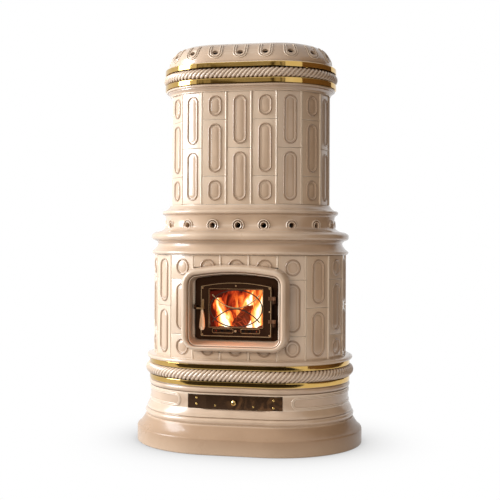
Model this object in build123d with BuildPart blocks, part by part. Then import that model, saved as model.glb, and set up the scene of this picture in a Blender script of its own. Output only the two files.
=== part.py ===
from build123d import *
import math
import os

# A tall tiled stove on a stadium plan: two tile-clad bodies, one on the other, between moulded
# ceramic rings, round a steel fire chamber. Origin: centre of the base, on the floor.
# X runs along the straight front, -Y is the front, +Z is up. Millimetres throughout.

# ---- plan
half_flat = 129.0            # half of the straight run, front and back
end_facets = 10              # facets of each half-round end of a moulding
lower_radius = 337.0         # tile faces of the lower body, from the ends' centres
upper_radius = 258.0         # tile faces of the upper body
lower_columns = 20
upper_columns = 18
tile_thickness = 38.0
tile_joint = 0.8
wall = 42.0                  # thickness of the ceramic mouldings

# ---- courses, from the floor up
plinth_side = 78.0
plinth_slope = 48.0
base_plate_thickness = 4.0
torus_height = 36.0
torus_slope = 30.0
frieze_height = 66.0
lip_course = 14.0
cap_course = 23.0
band_height = 22.0
rope_height = 55.0
seat_height = 19.0
lower_small_tile = 111.0
lower_long_tile = 256.0
bed_height = 65.0
nose_height = 42.0
vent_band_height = 80.0
roll_height = 26.0
flare_height = 21.0
upper_small_tile = 131.0
upper_long_tile = 263.0
top_bed_height = 21.0
lip_height = 12.0
top_band_height = 23.0
top_rope_height = 51.0
dome_rise = 104.0
dome_crown = 18.0

# ---- radii of the mouldings
plinth_radius = 416.0
plinth_neck = 374.0
plinth_cavity = 326.0
torus_radius = 377.0
frieze_radius = 352.0
cap_radius = 358.0
band_radius = 361.0
rope_radius = 376.0
seat_radius = 371.0
bed_radius = 351.0
bed_waist = 320.0
nose_radius = 353.0
vent_band_radius = 280.0
roll_radius = 302.0
top_bed_radius = 277.0
top_lip_radius = 285.0
top_band_radius = 292.0
top_rope_radius = 297.0
dome_radius = 270.0
dome_inset = 92.0
dome_wall = 14.0

# ---- relief and vents
medallion_share = 0.6        # of a tile's width
medallion_depth = 4.0
medallion_margin = 19.0      # to the tile's upper and lower edges, small tiles have half
end_corners = 3              # sides of a medallion's half-round end
relief_columns = 4           # tile columns with relief, each side of the middle front column
vent_radius = 12.0
vent_boss_radius = 24.0
vent_boss_reach = 16.0
vent_height = 30.0           # vent centres above the nose
dome_vent_height = 52.0      # above the foot of the dome
dome_vent_radius = 11.0
vent_corners = 6             # sides of the vent holes and bosses
panel_depth = 3.0
panel_margin = 6.0
panel_start = 265.0          # where the frieze's side panels begin, from the middle

# ---- ceramic surround of the fire door
opening_half = 198.0
opening_foot = 507.0
opening_spring = 789.0
opening_crown = 804.0
opening_corner = 26.0
splay = 10.0                 # the mouth is wider than the opening all round
ridge_width = 20.0
ridge_round = 10.0
skirt_spread = 33.0
skirt_rise = 18.0
ridge_reach = 60.0           # how far the ridge stands out of the front tiles
sill_drop = 16.0             # the mouth's sill falls this much more towards the front
surround_depth = 50.0        # behind the face of the front tiles
arch_drop = 21.0             # the arch piece begins this far under the crown
setting_gap = 0.6

# ---- cast-iron frame and door
frame_recess = 26.0          # face of the iron frame, behind the face of the front tiles
frame_gap = 0.5
leaf_stand = 19.0            # front of the leaf, before the frame's face
leaf_thickness = 12.0
leaf_margin = 31.5
leaf_foot_margin = 14.0
leaf_spring_margin = 33.0
leaf_crown_margin = 30.0
leaf_corner = 5.0
seal_inset = 8.0
seal_width = 7.0
aperture_inset = 20.0        # edge of the frame's opening inside the leaf's edge
window_half = 123.0
window_sill = 46.0           # from the leaf's foot up to the glass
window_lintel = 18.0         # from the glass up to the leaf's shoulders
glass_thickness = 4.0
glass_seal_thickness = 1.5
glass_lap = 4.0
bar_width = 5.0
bar_thickness = 3.0
tracery_half = 125.0
tracery_rise = 88.0
crossing_half = 95.0
crossing_rise = 57.0
trim_width = 2.5
trim_thickness = 1.0
trim_inset = 4.0
screw_radius = 4.0
screw_height = 2.0
screw_inset = 15.0
clearance = 0.3
running_clearance = 0.05

# ---- air register in the door's foot
register_lift = 6.0          # above the middle between the leaf's foot and the glass
register_window = 14.0
register_slot = 7.0
register_pitch = 29.0
register_start = 34.0
register_count = 3
register_travel = 14.5
register_thickness = 2.0
register_rise = 7.0
register_guide = 3.0
register_knob_radius = 5.0
register_knob_length = 9.0
register_stem = 2.5

# ---- hinges
knuckle_radius = 7.0
knuckle_sides = 12
pin_radius = 3.5
knuckle_height = 16.0
hinge_rise = 51.0            # lower hinge above the leaf's foot
hinge_drop = 80.0            # upper hinge under the leaf's shoulders
hinge_offset = 9.5           # hinge axis outside the leaf's edge
strap_length = 26.0
strap_thickness = 3.5

# ---- handle and its keeper
pivot_from_edge = 14.0
pivot_drop = 67.0            # under the leaf's shoulders
spindle_radius = 4.0
spindle_sides = 12
lever_gap = 1.5
lever_width = 10.0
lever_thickness = 5.0
lever_drop = 38.0
tongue_reach = 27.5          # outside the leaf's edge
tongue_height = 8.0
grip_radius = 14.0
grip_length = 92.0
grip_stand = 11.0            # grip's axis in front of the lever
grip_neck_radius = 5.0
keeper_width = 11.0
keeper_height = 12.0
keeper_hook = 3.0

# ---- ash drawer
plate_half = 219.0
plate_margin = 1.0
plate_thickness = 4.0
pan_half = 196.0
pan_sheet = 2.0
pan_back = 20.0              # rear wall of the pan, in front of the middle
slot_margin = 2.0
knob_radius = 11.0
knob_stem = 5.0
knob_reach = 20.0
knob_sides = 10
runner_width = 16.0
runner_length = 270.0
runner_front = 292.0

# ---- fire chamber
shell_half = 194.0
shell_sheet = 6.0
shell_back = 190.0
shell_under = 61.0           # shell's floor under the opening
shell_over = 67.0            # shell's top over the opening's shoulders
hearth_thickness = 30.0
brick_thickness = 30.0
brick_drop = 57.0            # top of the lining under the opening's shoulders
brick_front = 230.0
grate_width = 200.0
grate_depth = 170.0
grate_thickness = 14.0
grate_ledge = 8.0
grate_slot = 9.0
grate_slots = 8
retainer_height = 45.0
retainer_thickness = 12.0
baffle_thickness = 12.0
baffle_front = 110.0
chute_sheet = 2.0
chute_gap = 6.0

# ---- smoke path and steel frame
flue_radius = 75.0
flue_sheet = 2.0
riser_sides = 16
collar_sides = 30
rosette_sides = 24
chamber_half = 190.0
chamber_depth = 130.0
chamber_head = 1600.0
chamber_sheet = 4.0
collar_reach = 50.0          # out of the rear tiles
flue_height = 1500.0
rosette_radius = 106.0
rosette_thickness = 3.0
tie_plate_thickness = 5.0
tie_plate_radius = 270.0
post_width = 24.0
post_depth = 24.0
post_x = 222.0
post_y = 60.0
foot_radius = 18.0
foot_stem = 8.0
foot_height = 14.0
foot_x = 240.0
foot_y = 190.0

# ---- levels that follow from the courses
plinth_top = plinth_side + plinth_slope
torus_foot = plinth_top + base_plate_thickness
torus_top = torus_foot + torus_height
frieze_foot = torus_top + torus_slope
frieze_top = frieze_foot + frieze_height
cap_top = frieze_top + lip_course + cap_course
rope_foot = cap_top + band_height
rope_top = rope_foot + rope_height
seat_foot = rope_top + band_height
lower_tile_foot = seat_foot + seat_height
lower_tile_top = lower_tile_foot + 2 * lower_small_tile + lower_long_tile
cornice_top = lower_tile_top + bed_height
nose_top = cornice_top + nose_height
roll_foot = nose_top + vent_band_height
roll_top = roll_foot + roll_height
upper_tile_foot = roll_top + flare_height
upper_tile_top = upper_tile_foot + 2 * upper_small_tile + upper_long_tile
top_bed_top = upper_tile_top + top_bed_height
lip_top = top_bed_top + lip_height
top_rope_foot = lip_top + top_band_height
top_rope_top = top_rope_foot + top_rope_height
dome_foot = top_rope_top + top_band_height

# ---- lines of the door that follow from the opening
leaf_half = opening_half - leaf_margin
leaf_foot = opening_foot + leaf_foot_margin
leaf_spring = opening_spring - leaf_spring_margin
leaf_crown = opening_crown - leaf_crown_margin
leaf_reach = leaf_stand - frame_recess
leaf_back = leaf_reach - leaf_thickness
hinge_x = leaf_half + hinge_offset
pivot_x = -(leaf_half - pivot_from_edge)
strap_reach = leaf_reach + trim_thickness
window_foot = leaf_foot + window_sill
window_head = leaf_spring - window_lintel
register_height = (leaf_foot + window_foot) / 2 + register_lift
hinge_height_lower = leaf_foot + hinge_rise
hinge_height_upper = leaf_spring - hinge_drop
pivot_height = leaf_spring - pivot_drop
shell_foot = opening_foot - shell_under
shell_head = opening_spring + shell_over
window_middle = (window_foot + window_head) / 2
window_rise = window_head - window_foot


def stadium(radius):
    """Corners of the plan at one radius: straight front and back, faceted half-round ends."""
    step = math.pi / end_facets
    turns = [k * step for k in range(end_facets + 1)]
    right = [(half_flat + radius * math.sin(a), -radius * math.cos(a)) for a in turns]
    return right + [(-x, -y) for x, y in right]


def plan_point(distance, radius, inset=0.0):
    """A point of the stadium curve, at a distance along it from the middle of the front."""
    arc = math.pi * radius
    along = distance % (4 * half_flat + 2 * arc)
    reach = radius - inset
    if along <= half_flat:
        return along, -reach
    if along <= half_flat + arc:
        turn = (along - half_flat) / radius
        return half_flat + reach * math.sin(turn), -reach * math.cos(turn)
    if along <= 3 * half_flat + arc:
        return 2 * half_flat + arc - along, reach
    if along <= 3 * half_flat + 2 * arc:
        turn = (along - 3 * half_flat - arc) / radius
        return -half_flat - reach * math.sin(turn), reach * math.cos(turn)
    return along - 4 * half_flat - 2 * arc, -reach


def pitch_of(radius, columns):
    """Width of one tile column, measured along the tile faces."""
    return (4 * half_flat + 2 * math.pi * radius) / columns


def column_plan(radius):
    """Corners of the plan with one flat side at the middle of every upper tile column."""
    pitch = pitch_of(upper_radius, upper_columns)
    arc = math.pi * upper_radius
    places = [(k / 2 + 0.25) * pitch for k in range(2 * upper_columns)]
    places += [half_flat, half_flat + arc, 3 * half_flat + arc, 3 * half_flat + 2 * arc]
    return [plan_point(s, upper_radius, upper_radius - radius) for s in sorted(places)]


def level(corners, height):
    """A flat face of the given corners at one height."""
    with BuildSketch(Plane.XY.offset(height)) as face:
        Polygon(*corners, align=None)
    return face.sketch


def faceted(rows):
    """A solid with flat sides between rows of corners, closed by a flat at either end."""
    faces = [Face(Wire.make_polygon(rows[0])), Face(Wire.make_polygon(rows[-1]))]
    for near, far in zip(rows, rows[1:]):
        for k in range(len(near)):
            a, b, c, d = near[k - 1], near[k], far[k], far[k - 1]
            normal = (b - a).cross(d - a).normalized()
            if abs(normal.dot(c - a)) < 1e-6:
                faces.append(Face(Wire.make_polygon((a, b, c, d))))
            else:
                faces.append(Face(Wire.make_polygon((a, b, c))))
                faces.append(Face(Wire.make_polygon((a, c, d))))
    return Solid(Shell(faces))


def column_stack(profile):
    """A flat-sided solid on the column plan. Profile: heights and radii."""
    return faceted([[Vector(x, y, z) for x, y in column_plan(r)] for z, r in profile])


def turned(origin, along, profile):
    """A many-sided turned form. Profile: shares of the length and radii."""
    side = along.normalized().cross(Vector(1, 0, 0))
    turns = [2 * math.pi * k / knob_sides for k in range(knob_sides)]
    return faceted(
        [
            [origin + along * share + Vector(r * math.cos(a), 0, 0) + side * r * math.sin(a) for a in turns]
            for share, r in profile
        ]
    )


def front(reach):
    """An upright plane, seen from the front, so far in front of the lower body's front tiles."""
    return Plane(origin=(0, -lower_radius - reach, 0), x_dir=(1, 0, 0), z_dir=(0, -1, 0))


def column_frame(index, radius, columns, height):
    """A plane on the flat face of one tile column, with its normal outward and its Y upward."""
    pitch = pitch_of(radius, columns)
    x0, y0 = plan_point((index - 0.5) * pitch, radius)
    x1, y1 = plan_point((index + 0.5) * pitch, radius)
    along = Vector(x1 - x0, y1 - y0, 0).normalized()
    middle = ((x0 + x1) / 2, (y0 + y1) / 2, height)
    return Plane(origin=middle, x_dir=along, z_dir=along.cross(Vector(0, 0, 1)))


def tile(index, radius, columns, foot, top):
    """One tile of a column, its sides square to the plan's curve."""
    pitch = pitch_of(radius, columns)
    start = (index - 0.5) * pitch + tile_joint / 2
    end = (index + 0.5) * pitch - tile_joint / 2
    corners = [
        plan_point(start, radius),
        plan_point(end, radius),
        plan_point(end, radius, tile_thickness),
        plan_point(start, radius, tile_thickness),
    ]
    return extrude(level(corners, foot), amount=top - foot)


def medallion(index, radius, columns, foot, top):
    """The raised round-ended field in the middle of a tile."""
    half = pitch_of(radius, columns) * medallion_share / 2
    margin = min(medallion_margin, (top - foot - 2 * half) / 2)
    rise = (top - foot) / 2 - margin - half
    turns = [k * math.pi / end_corners for k in range(end_corners + 1)]
    upper = [(half * math.cos(a), rise + half * math.sin(a)) for a in turns]
    with BuildSketch(column_frame(index, radius, columns, (foot + top) / 2)) as field:
        Polygon(*upper, *[(-x, -y) for x, y in upper], align=None)
    return extrude(field.sketch, amount=medallion_depth)


def arched(reach, half, foot, spring, crown, corner):
    """An outline with upright sides and a low arched head, its corners rounded."""
    with BuildSketch(front(reach)) as outline:
        with BuildLine():
            Polyline((-half, spring), (-half, foot), (half, foot), (half, spring))
            ThreePointArc((half, spring), (0, crown), (-half, spring))
        make_face()
        fillet(outline.vertices(), corner)
    return outline.sketch


def leaf_outline(reach, inset, corner=leaf_corner):
    """The outline of the door leaf, drawn in all round."""
    half = leaf_half - inset
    return arched(reach, half, leaf_foot + inset, leaf_spring - inset, leaf_crown - inset, corner)


def surround_row(reach, wide, high, sill=0.0):
    """Corners of the opening's outline at one reach, grown sideways and up and down."""
    half = opening_half + wide
    foot = opening_foot - high - sill
    spring = opening_spring + high
    rise = opening_crown - opening_spring
    corner = opening_corner + min(wide, high)
    turns = [math.radians(a) for a in (0, 30, 60, 90)]
    bend = [(half - corner * (1 - math.cos(a)), corner * (1 - math.sin(a))) for a in turns]
    lower = [(x, foot + y) for x, y in reversed(bend)]
    upper = [(x, spring - y) for x, y in bend]
    inner = half - corner
    crown = [(inner * k / 3, spring + rise * (1 - (k / 3) ** 2)) for k in (2, 1)]
    right = [*lower, *upper, *crown]
    outline = [*right, (0, opening_crown + high), *[(-x, z) for x, z in reversed(right)]]
    return [Vector(x, -lower_radius - reach, z) for x, z in outline]


def surround_block(gap=0.0):
    """The surround's outer form: a skirt that narrows to the ridge, whose front is rounded."""
    ridge = splay + ridge_width + ridge_round
    return faceted(
        [
            surround_row(-surround_depth - gap, ridge + skirt_spread + gap, ridge + skirt_rise + gap),
            surround_row(ridge_reach - ridge_round, ridge, ridge),
            surround_row(ridge_reach - 3, ridge - 3, ridge - 3),
            surround_row(ridge_reach, ridge - ridge_round, ridge - ridge_round),
        ]
    )


os.makedirs("parts", exist_ok=True)

# ---- base
plinth_profile = (
    (0, plinth_radius),
    (plinth_side - 8, plinth_radius),
    (plinth_side, plinth_radius - 6),
    (plinth_top, plinth_neck),
)
with BuildPart() as plinth:
    loft([level(stadium(radius), height) for height, radius in plinth_profile], ruled=True)
    extrude(level(stadium(plinth_cavity), 0), amount=plinth_top, mode=Mode.SUBTRACT)
plinth.part.label = "plinth"
export_step(plinth.part, "parts/plinth.step")

with BuildPart() as base_plate:
    extrude(level(stadium(torus_radius - wall / 2), plinth_top), amount=base_plate_thickness)
base_plate.part.label = "base_plate"
export_step(base_plate.part, "parts/base_plate.step")

with BuildPart() as levelling_feet:
    with BuildSketch(Plane.XY) as pads:
        with GridLocations(2 * foot_x, 2 * foot_y, 2, 2):
            RegularPolygon(foot_radius, 8)
    extrude(pads.sketch, amount=foot_height)
    with BuildSketch(Plane.XY) as stems:
        with GridLocations(2 * foot_x, 2 * foot_y, 2, 2):
            RegularPolygon(foot_stem, 8)
    extrude(stems.sketch, amount=plinth_top)
levelling_feet.part.label = "levelling_feet"
export_step(levelling_feet.part, "parts/levelling_feet.step")

torus_profile = (
    (torus_foot, torus_radius - 10),
    (torus_foot + 9, torus_radius),
    (torus_top - 10, torus_radius),
    (torus_top, torus_radius - 9),
    (frieze_foot, frieze_radius),
)
with BuildPart() as base_torus:
    loft([level(stadium(radius), height) for height, radius in torus_profile], ruled=True)
    extrude(
        level(stadium(frieze_radius - wall), torus_foot),
        amount=frieze_foot - torus_foot,
        mode=Mode.SUBTRACT,
    )
base_torus.part.label = "base_torus"
export_step(base_torus.part, "parts/base_torus.step")

# The frieze wall has a slot for the ash drawer and a raised panel round each end.
slot_foot = frieze_foot + slot_margin
slot_top = frieze_top - slot_margin
with BuildPart() as base_frieze:
    extrude(level(stadium(frieze_radius), frieze_foot), amount=frieze_height)
    with BuildSketch(Plane.XY.offset(frieze_foot + panel_margin)) as panels:
        Polygon(*stadium(frieze_radius + panel_depth), align=None)
        Rectangle(2 * panel_start, 4 * frieze_radius, mode=Mode.SUBTRACT)
    extrude(panels.sketch, amount=frieze_height - 2 * panel_margin)
    extrude(
        level(stadium(frieze_radius - wall), frieze_foot),
        amount=frieze_height,
        mode=Mode.SUBTRACT,
    )
    with BuildSketch(front(wall)) as slot:
        with Locations((0, (slot_foot + slot_top) / 2)):
            Rectangle(2 * (pan_half + slot_margin), slot_top - slot_foot)
    extrude(slot.sketch, amount=-4 * wall, mode=Mode.SUBTRACT)
base_frieze.part.label = "base_frieze"
export_step(base_frieze.part, "parts/base_frieze.step")

lip_top_base = frieze_top + lip_course
cap_profile = (
    (frieze_top, cap_radius - 2),
    (lip_top_base - 2, cap_radius - 1),
    (lip_top_base, cap_radius - 5),
    (lip_top_base + 4, cap_radius),
    (cap_top - 4, cap_radius),
    (cap_top, cap_radius - 4),
)
with BuildPart() as base_cap:
    loft([level(stadium(radius), height) for height, radius in cap_profile], ruled=True)
    extrude(
        level(stadium(cap_radius - wall), frieze_top), amount=cap_top - frieze_top, mode=Mode.SUBTRACT
    )
base_cap.part.label = "base_cap"
export_step(base_cap.part, "parts/base_cap.step")

# ---- brass bands and rope mouldings
band_feet = (
    (cap_top, band_radius, band_height),
    (rope_top, band_radius, band_height),
    (lip_top, top_band_radius, top_band_height),
    (top_rope_top, top_band_radius, top_band_height),
)
with BuildPart() as brass_bands:
    for foot, radius, height in band_feet:
        extrude(level(stadium(radius), foot), amount=height)
        extrude(level(stadium(radius - wall), foot), amount=height, mode=Mode.SUBTRACT)
brass_bands.part.label = "brass_bands"
export_step(brass_bands.part, "parts/brass_bands.step")


def rope_profile(foot, top, radius):
    """Heights and radii of a round-nosed moulding."""
    half = (top - foot) / 2
    turns = [math.radians(a) for a in (-60, -20, 20, 60)]
    round_part = [(foot + half + half * math.sin(a), radius - half * (1 - math.cos(a))) for a in turns]
    return [(foot, round_part[0][1] - 4), *round_part, (top, round_part[-1][1] - 4)]


with BuildPart() as rope_rings:
    for foot, top, radius in (
        (rope_foot, rope_top, rope_radius),
        (top_rope_foot, top_rope_top, top_rope_radius),
    ):
        loft([level(stadium(r), z) for z, r in rope_profile(foot, top, radius)], ruled=True)
        extrude(
            level(stadium(radius - rope_height), foot), amount=top - foot, mode=Mode.SUBTRACT
        )
rope_rings.part.label = "rope_rings"
export_step(rope_rings.part, "parts/rope_rings.step")

seat_profile = (
    (seat_foot, seat_radius - 9),
    (seat_foot + 5, seat_radius - 1),
    (seat_foot + 10, seat_radius),
    (lower_tile_foot - 4, seat_radius - 3),
    (lower_tile_foot, seat_radius - 9),
)
with BuildPart() as tile_seat:
    loft([level(stadium(radius), height) for height, radius in seat_profile], ruled=True)
    extrude(
        level(stadium(lower_radius - tile_thickness), seat_foot), amount=seat_height, mode=Mode.SUBTRACT
    )
tile_seat.part.label = "tile_seat"
export_step(tile_seat.part, "parts/tile_seat.step")

# ---- door surround, in two parts
mouth_rows = [
    surround_row(ridge_reach, splay, splay, sill_drop),
    surround_row(-frame_recess, 0.0, 0.0),
    surround_row(-surround_depth, 0.0, 0.0),
]
with BuildPart() as surround:
    add(surround_block())
    add(faceted(mouth_rows), mode=Mode.SUBTRACT)
arch_foot = opening_crown - arch_drop

with BuildPart() as door_surround:
    add(surround.part)
    split(bisect_by=Plane.XY.offset(arch_foot), keep=Keep.BOTTOM)
door_surround.part.label = "door_surround"
export_step(door_surround.part, "parts/door_surround.step")

with BuildPart() as surround_arch:
    add(surround.part)
    split(bisect_by=Plane.XY.offset(arch_foot), keep=Keep.TOP)
surround_arch.part.label = "surround_arch"
export_step(surround_arch.part, "parts/surround_arch.step")


# ---- tiles
def courses(foot, small, long, halved):
    """Heights of a column's tiles: either two halves, or small, long and small."""
    if halved:
        return (foot, foot + small + long / 2, foot + 2 * small + long)
    return (foot, foot + small, foot + small + long, foot + 2 * small + long)


cut_block = surround_block(setting_gap)
with BuildPart() as lower_middle_tiles:
    for index in range(1, lower_columns, 2):
        steps = courses(lower_tile_foot, lower_small_tile, lower_long_tile, True)
        for foot, top in zip(steps, steps[1:]):
            gap = tile_joint if foot > lower_tile_foot else 0.0
            add(tile(index, lower_radius, lower_columns, foot + gap, top))
            if min(index, lower_columns - index) <= relief_columns:
                add(medallion(index, lower_radius, lower_columns, foot, top))
    add(cut_block, mode=Mode.SUBTRACT)
lower_middle_tiles.part.label = "lower_middle_tiles"
export_step(lower_middle_tiles.part, "parts/lower_middle_tiles.step")

with BuildPart() as lower_side_tiles:
    for index in range(0, lower_columns, 2):
        steps = courses(lower_tile_foot, lower_small_tile, lower_long_tile, False)
        for foot, top in zip(steps, steps[1:]):
            gap = tile_joint if foot > lower_tile_foot else 0.0
            add(tile(index, lower_radius, lower_columns, foot + gap, top))
            if min(index, lower_columns - index) <= relief_columns:
                add(medallion(index, lower_radius, lower_columns, foot, top))
    add(cut_block, mode=Mode.SUBTRACT)
lower_side_tiles.part.label = "lower_side_tiles"
export_step(lower_side_tiles.part, "parts/lower_side_tiles.step")

# ---- cornices between the two bodies
cornice_profile = (
    (lower_tile_top, bed_radius - 5),
    (lower_tile_top + 5, bed_radius),
    (lower_tile_top + 15, bed_radius),
    (lower_tile_top + 19, bed_radius - 8),
    (lower_tile_top + 29, bed_waist + 8),
    (lower_tile_top + 47, bed_waist),
    (cornice_top, bed_waist + 14),
)
with BuildPart() as lower_cornice:
    loft([level(stadium(radius), height) for height, radius in cornice_profile], ruled=True)
    extrude(
        level(stadium(bed_waist - wall), lower_tile_top), amount=bed_height, mode=Mode.SUBTRACT
    )
lower_cornice.part.label = "lower_cornice"
export_step(lower_cornice.part, "parts/lower_cornice.step")

# The vent cornice carries one air hole, in a raised boss, under each upper tile column.
vent_profile = (
    (cornice_top, nose_radius - 14),
    (cornice_top + 9, nose_radius),
    (nose_top - 10, nose_radius),
    (nose_top + 10, vent_band_radius + 28),
    (nose_top + 26, vent_band_radius + 5),
    (roll_foot + 3, roll_radius - 1),
    (roll_top - 5, roll_radius),
    (roll_top + 3, upper_radius + 20),
    (upper_tile_foot, upper_radius + 4),
)
cavity_profile = (
    (cornice_top + 12, nose_radius - wall),
    (nose_top - 14, nose_radius - wall),
    (nose_top + 10, vent_band_radius - wall),
    (upper_tile_foot, upper_radius - tile_thickness),
)
vent_level = nose_top + vent_height
with BuildPart() as vent_cornice:
    add(column_stack(vent_profile))
    for index in range(upper_columns):
        mouth = column_frame(index, upper_radius, upper_columns, vent_level)
        with BuildSketch(mouth.offset(vent_band_radius - upper_radius + vent_boss_reach)) as boss:
            RegularPolygon(vent_boss_radius, vent_corners)
        extrude(boss.sketch, amount=-vent_boss_reach - wall / 2)
    add(column_stack(cavity_profile), mode=Mode.SUBTRACT)
    extrude(
        level(column_plan(upper_radius - tile_thickness), cornice_top), amount=wall, mode=Mode.SUBTRACT
    )
    for index in range(upper_columns):
        mouth = column_frame(index, upper_radius, upper_columns, vent_level)
        with BuildSketch(mouth.offset(vent_band_radius - upper_radius + vent_boss_reach)) as hole:
            RegularPolygon(vent_radius, vent_corners)
        extrude(hole.sketch, amount=-vent_boss_reach - 2 * wall, mode=Mode.SUBTRACT)
vent_cornice.part.label = "vent_cornice"
export_step(vent_cornice.part, "parts/vent_cornice.step")

# ---- upper tiles; the flue leaves through the rear column
with BuildPart() as flue_hole:
    with BuildSketch(Plane.XZ) as hole:
        with Locations((0, flue_height)):
            Circle(flue_radius + flue_sheet + clearance)
    extrude(hole.sketch, amount=-2 * upper_radius)

with BuildPart() as upper_middle_tiles:
    for index in range(0, upper_columns, 2):
        steps = courses(upper_tile_foot, upper_small_tile, upper_long_tile, True)
        for foot, top in zip(steps, steps[1:]):
            gap = tile_joint if foot > upper_tile_foot else 0.0
            add(tile(index, upper_radius, upper_columns, foot + gap, top))
            if min(index, upper_columns - index) <= relief_columns:
                add(medallion(index, upper_radius, upper_columns, foot, top))
    add(flue_hole.part, mode=Mode.SUBTRACT)
upper_middle_tiles.part.label = "upper_middle_tiles"
export_step(upper_middle_tiles.part, "parts/upper_middle_tiles.step")

with BuildPart() as upper_side_tiles:
    for index in range(1, upper_columns, 2):
        steps = courses(upper_tile_foot, upper_small_tile, upper_long_tile, False)
        for foot, top in zip(steps, steps[1:]):
            gap = tile_joint if foot > upper_tile_foot else 0.0
            add(tile(index, upper_radius, upper_columns, foot + gap, top))
            if min(index, upper_columns - index) <= relief_columns:
                add(medallion(index, upper_radius, upper_columns, foot, top))
    add(flue_hole.part, mode=Mode.SUBTRACT)
upper_side_tiles.part.label = "upper_side_tiles"
export_step(upper_side_tiles.part, "parts/upper_side_tiles.step")

# ---- top
top_profile = (
    (upper_tile_top, upper_radius + 4),
    (upper_tile_top + 8, upper_radius + 9),
    (upper_tile_top + 16, top_bed_radius - 2),
    (top_bed_top, top_bed_radius),
    (top_bed_top + 2, top_lip_radius),
    (lip_top, top_lip_radius),
)
with BuildPart() as top_moulding:
    loft([level(stadium(radius), height) for height, radius in top_profile], ruled=True)
    extrude(
        level(stadium(upper_radius - tile_thickness), upper_tile_top),
        amount=lip_top - upper_tile_top,
        mode=Mode.SUBTRACT,
    )
top_moulding.part.label = "top_moulding"
export_step(top_moulding.part, "parts/top_moulding.step")


def dome_profile(inset, lower, steps):
    """Heights and radii of the cap: a quarter ellipse, then a gentle crown."""
    turns = [math.radians(90 * k / steps) for k in range(steps + 1)]
    shoulder = [
        (
            dome_foot + (dome_rise - lower) * math.sin(a),
            dome_radius - inset - dome_inset * (1 - math.cos(a)),
        )
        for a in turns
    ]
    return [*shoulder, (dome_foot + dome_rise + dome_crown - lower, dome_radius - 2 * dome_inset)]


with BuildPart() as dome_cap:
    add(column_stack(dome_profile(0, 0, 4)))
    add(column_stack(dome_profile(dome_wall, dome_wall, 2)), mode=Mode.SUBTRACT)
    for index in range(upper_columns):
        mouth = column_frame(index, upper_radius, upper_columns, dome_foot + dome_vent_height)
        with BuildSketch(mouth.offset(dome_radius - upper_radius)) as hole:
            RegularPolygon(dome_vent_radius, vent_corners)
        extrude(hole.sketch, amount=-dome_inset, mode=Mode.SUBTRACT)
dome_cap.part.label = "dome_cap"
export_step(dome_cap.part, "parts/dome_cap.step")

# ---- fire chamber: shell, hearth, lining, grate
shell_front = lower_radius - surround_depth
aperture = aperture_inset + leaf_margin
shell_depth = shell_front + shell_back
hearth_foot = shell_foot + shell_sheet
hearth_top = hearth_foot + hearth_thickness
brick_height = opening_spring - brick_drop - hearth_top
chamber_foot = cornice_top
with BuildPart() as firebox_shell:
    with BuildSketch(Plane.XY.offset(shell_foot)) as footprint:
        with Locations((0, (shell_back - shell_front) / 2)):
            Rectangle(2 * shell_half, shell_depth)
    extrude(footprint.sketch, amount=shell_head - shell_foot)
    with BuildSketch(Plane.XY.offset(hearth_foot)) as room:
        with Locations((0, (shell_back - shell_front) / 2)):
            Rectangle(2 * (shell_half - shell_sheet), shell_depth - 2 * shell_sheet)
    extrude(room.sketch, amount=shell_head - shell_foot - 2 * shell_sheet, mode=Mode.SUBTRACT)
    extrude(
        leaf_outline(-surround_depth + 1, aperture_inset), amount=-shell_sheet - 2, mode=Mode.SUBTRACT
    )
    with BuildSketch(Plane.XY.offset(shell_foot)) as ash_hole:
        Rectangle(grate_width - 2 * grate_ledge, grate_depth - 2 * grate_ledge)
    extrude(ash_hole.sketch, amount=shell_sheet, mode=Mode.SUBTRACT)
    with BuildSketch(Plane.XY.offset(shell_head - shell_sheet)) as riser_hole:
        RegularPolygon(flue_radius - flue_sheet, riser_sides)
    extrude(riser_hole.sketch, amount=shell_sheet, mode=Mode.SUBTRACT)
firebox_shell.part.label = "firebox_shell"
export_step(firebox_shell.part, "parts/firebox_shell.step")

room_half = shell_half - shell_sheet - clearance
room_back = shell_back - shell_sheet - clearance
room_front = shell_front - shell_sheet - clearance
with BuildPart() as hearth_slab:
    with BuildSketch(Plane.XY.offset(hearth_foot)) as slab:
        with Locations((0, (room_back - room_front) / 2)):
            Rectangle(2 * room_half, room_front + room_back)
        Rectangle(grate_width + 2 * clearance, grate_depth + 2 * clearance, mode=Mode.SUBTRACT)
    extrude(slab.sketch, amount=hearth_thickness)
hearth_slab.part.label = "hearth_slab"
export_step(hearth_slab.part, "parts/hearth_slab.step")

with BuildPart() as lining_bricks:
    with BuildSketch(Plane.XY.offset(hearth_top)) as sides:
        with Locations((0, (room_back - brick_front) / 2)):
            with GridLocations(2 * room_half - brick_thickness, 0, 2, 1):
                Rectangle(brick_thickness, brick_front + room_back)
    extrude(sides.sketch, amount=brick_height)
    with BuildSketch(Plane.XY.offset(hearth_top)) as rear:
        with Locations((0, room_back - brick_thickness / 2)):
            Rectangle(2 * (room_half - brick_thickness - clearance), brick_thickness)
    extrude(rear.sketch, amount=brick_height)
lining_bricks.part.label = "lining_bricks"
export_step(lining_bricks.part, "parts/lining_bricks.step")

with BuildPart() as grate:
    with BuildSketch(Plane.XY.offset(hearth_foot)) as bars:
        Rectangle(grate_width, grate_depth)
        with GridLocations(grate_width / (grate_slots + 1), 0, grate_slots, 1):
            Rectangle(grate_slot, grate_depth - 4 * grate_ledge, mode=Mode.SUBTRACT)
    extrude(bars.sketch, amount=grate_thickness)
grate.part.label = "grate"
export_step(grate.part, "parts/grate.step")

with BuildPart() as log_retainer:
    with BuildSketch(Plane.XY.offset(hearth_top)) as bar:
        with Locations((0, -brick_front - retainer_thickness / 2 - clearance)):
            Rectangle(2 * (room_half - brick_thickness), retainer_thickness)
    extrude(bar.sketch, amount=retainer_height)
log_retainer.part.label = "log_retainer"
export_step(log_retainer.part, "parts/log_retainer.step")

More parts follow.
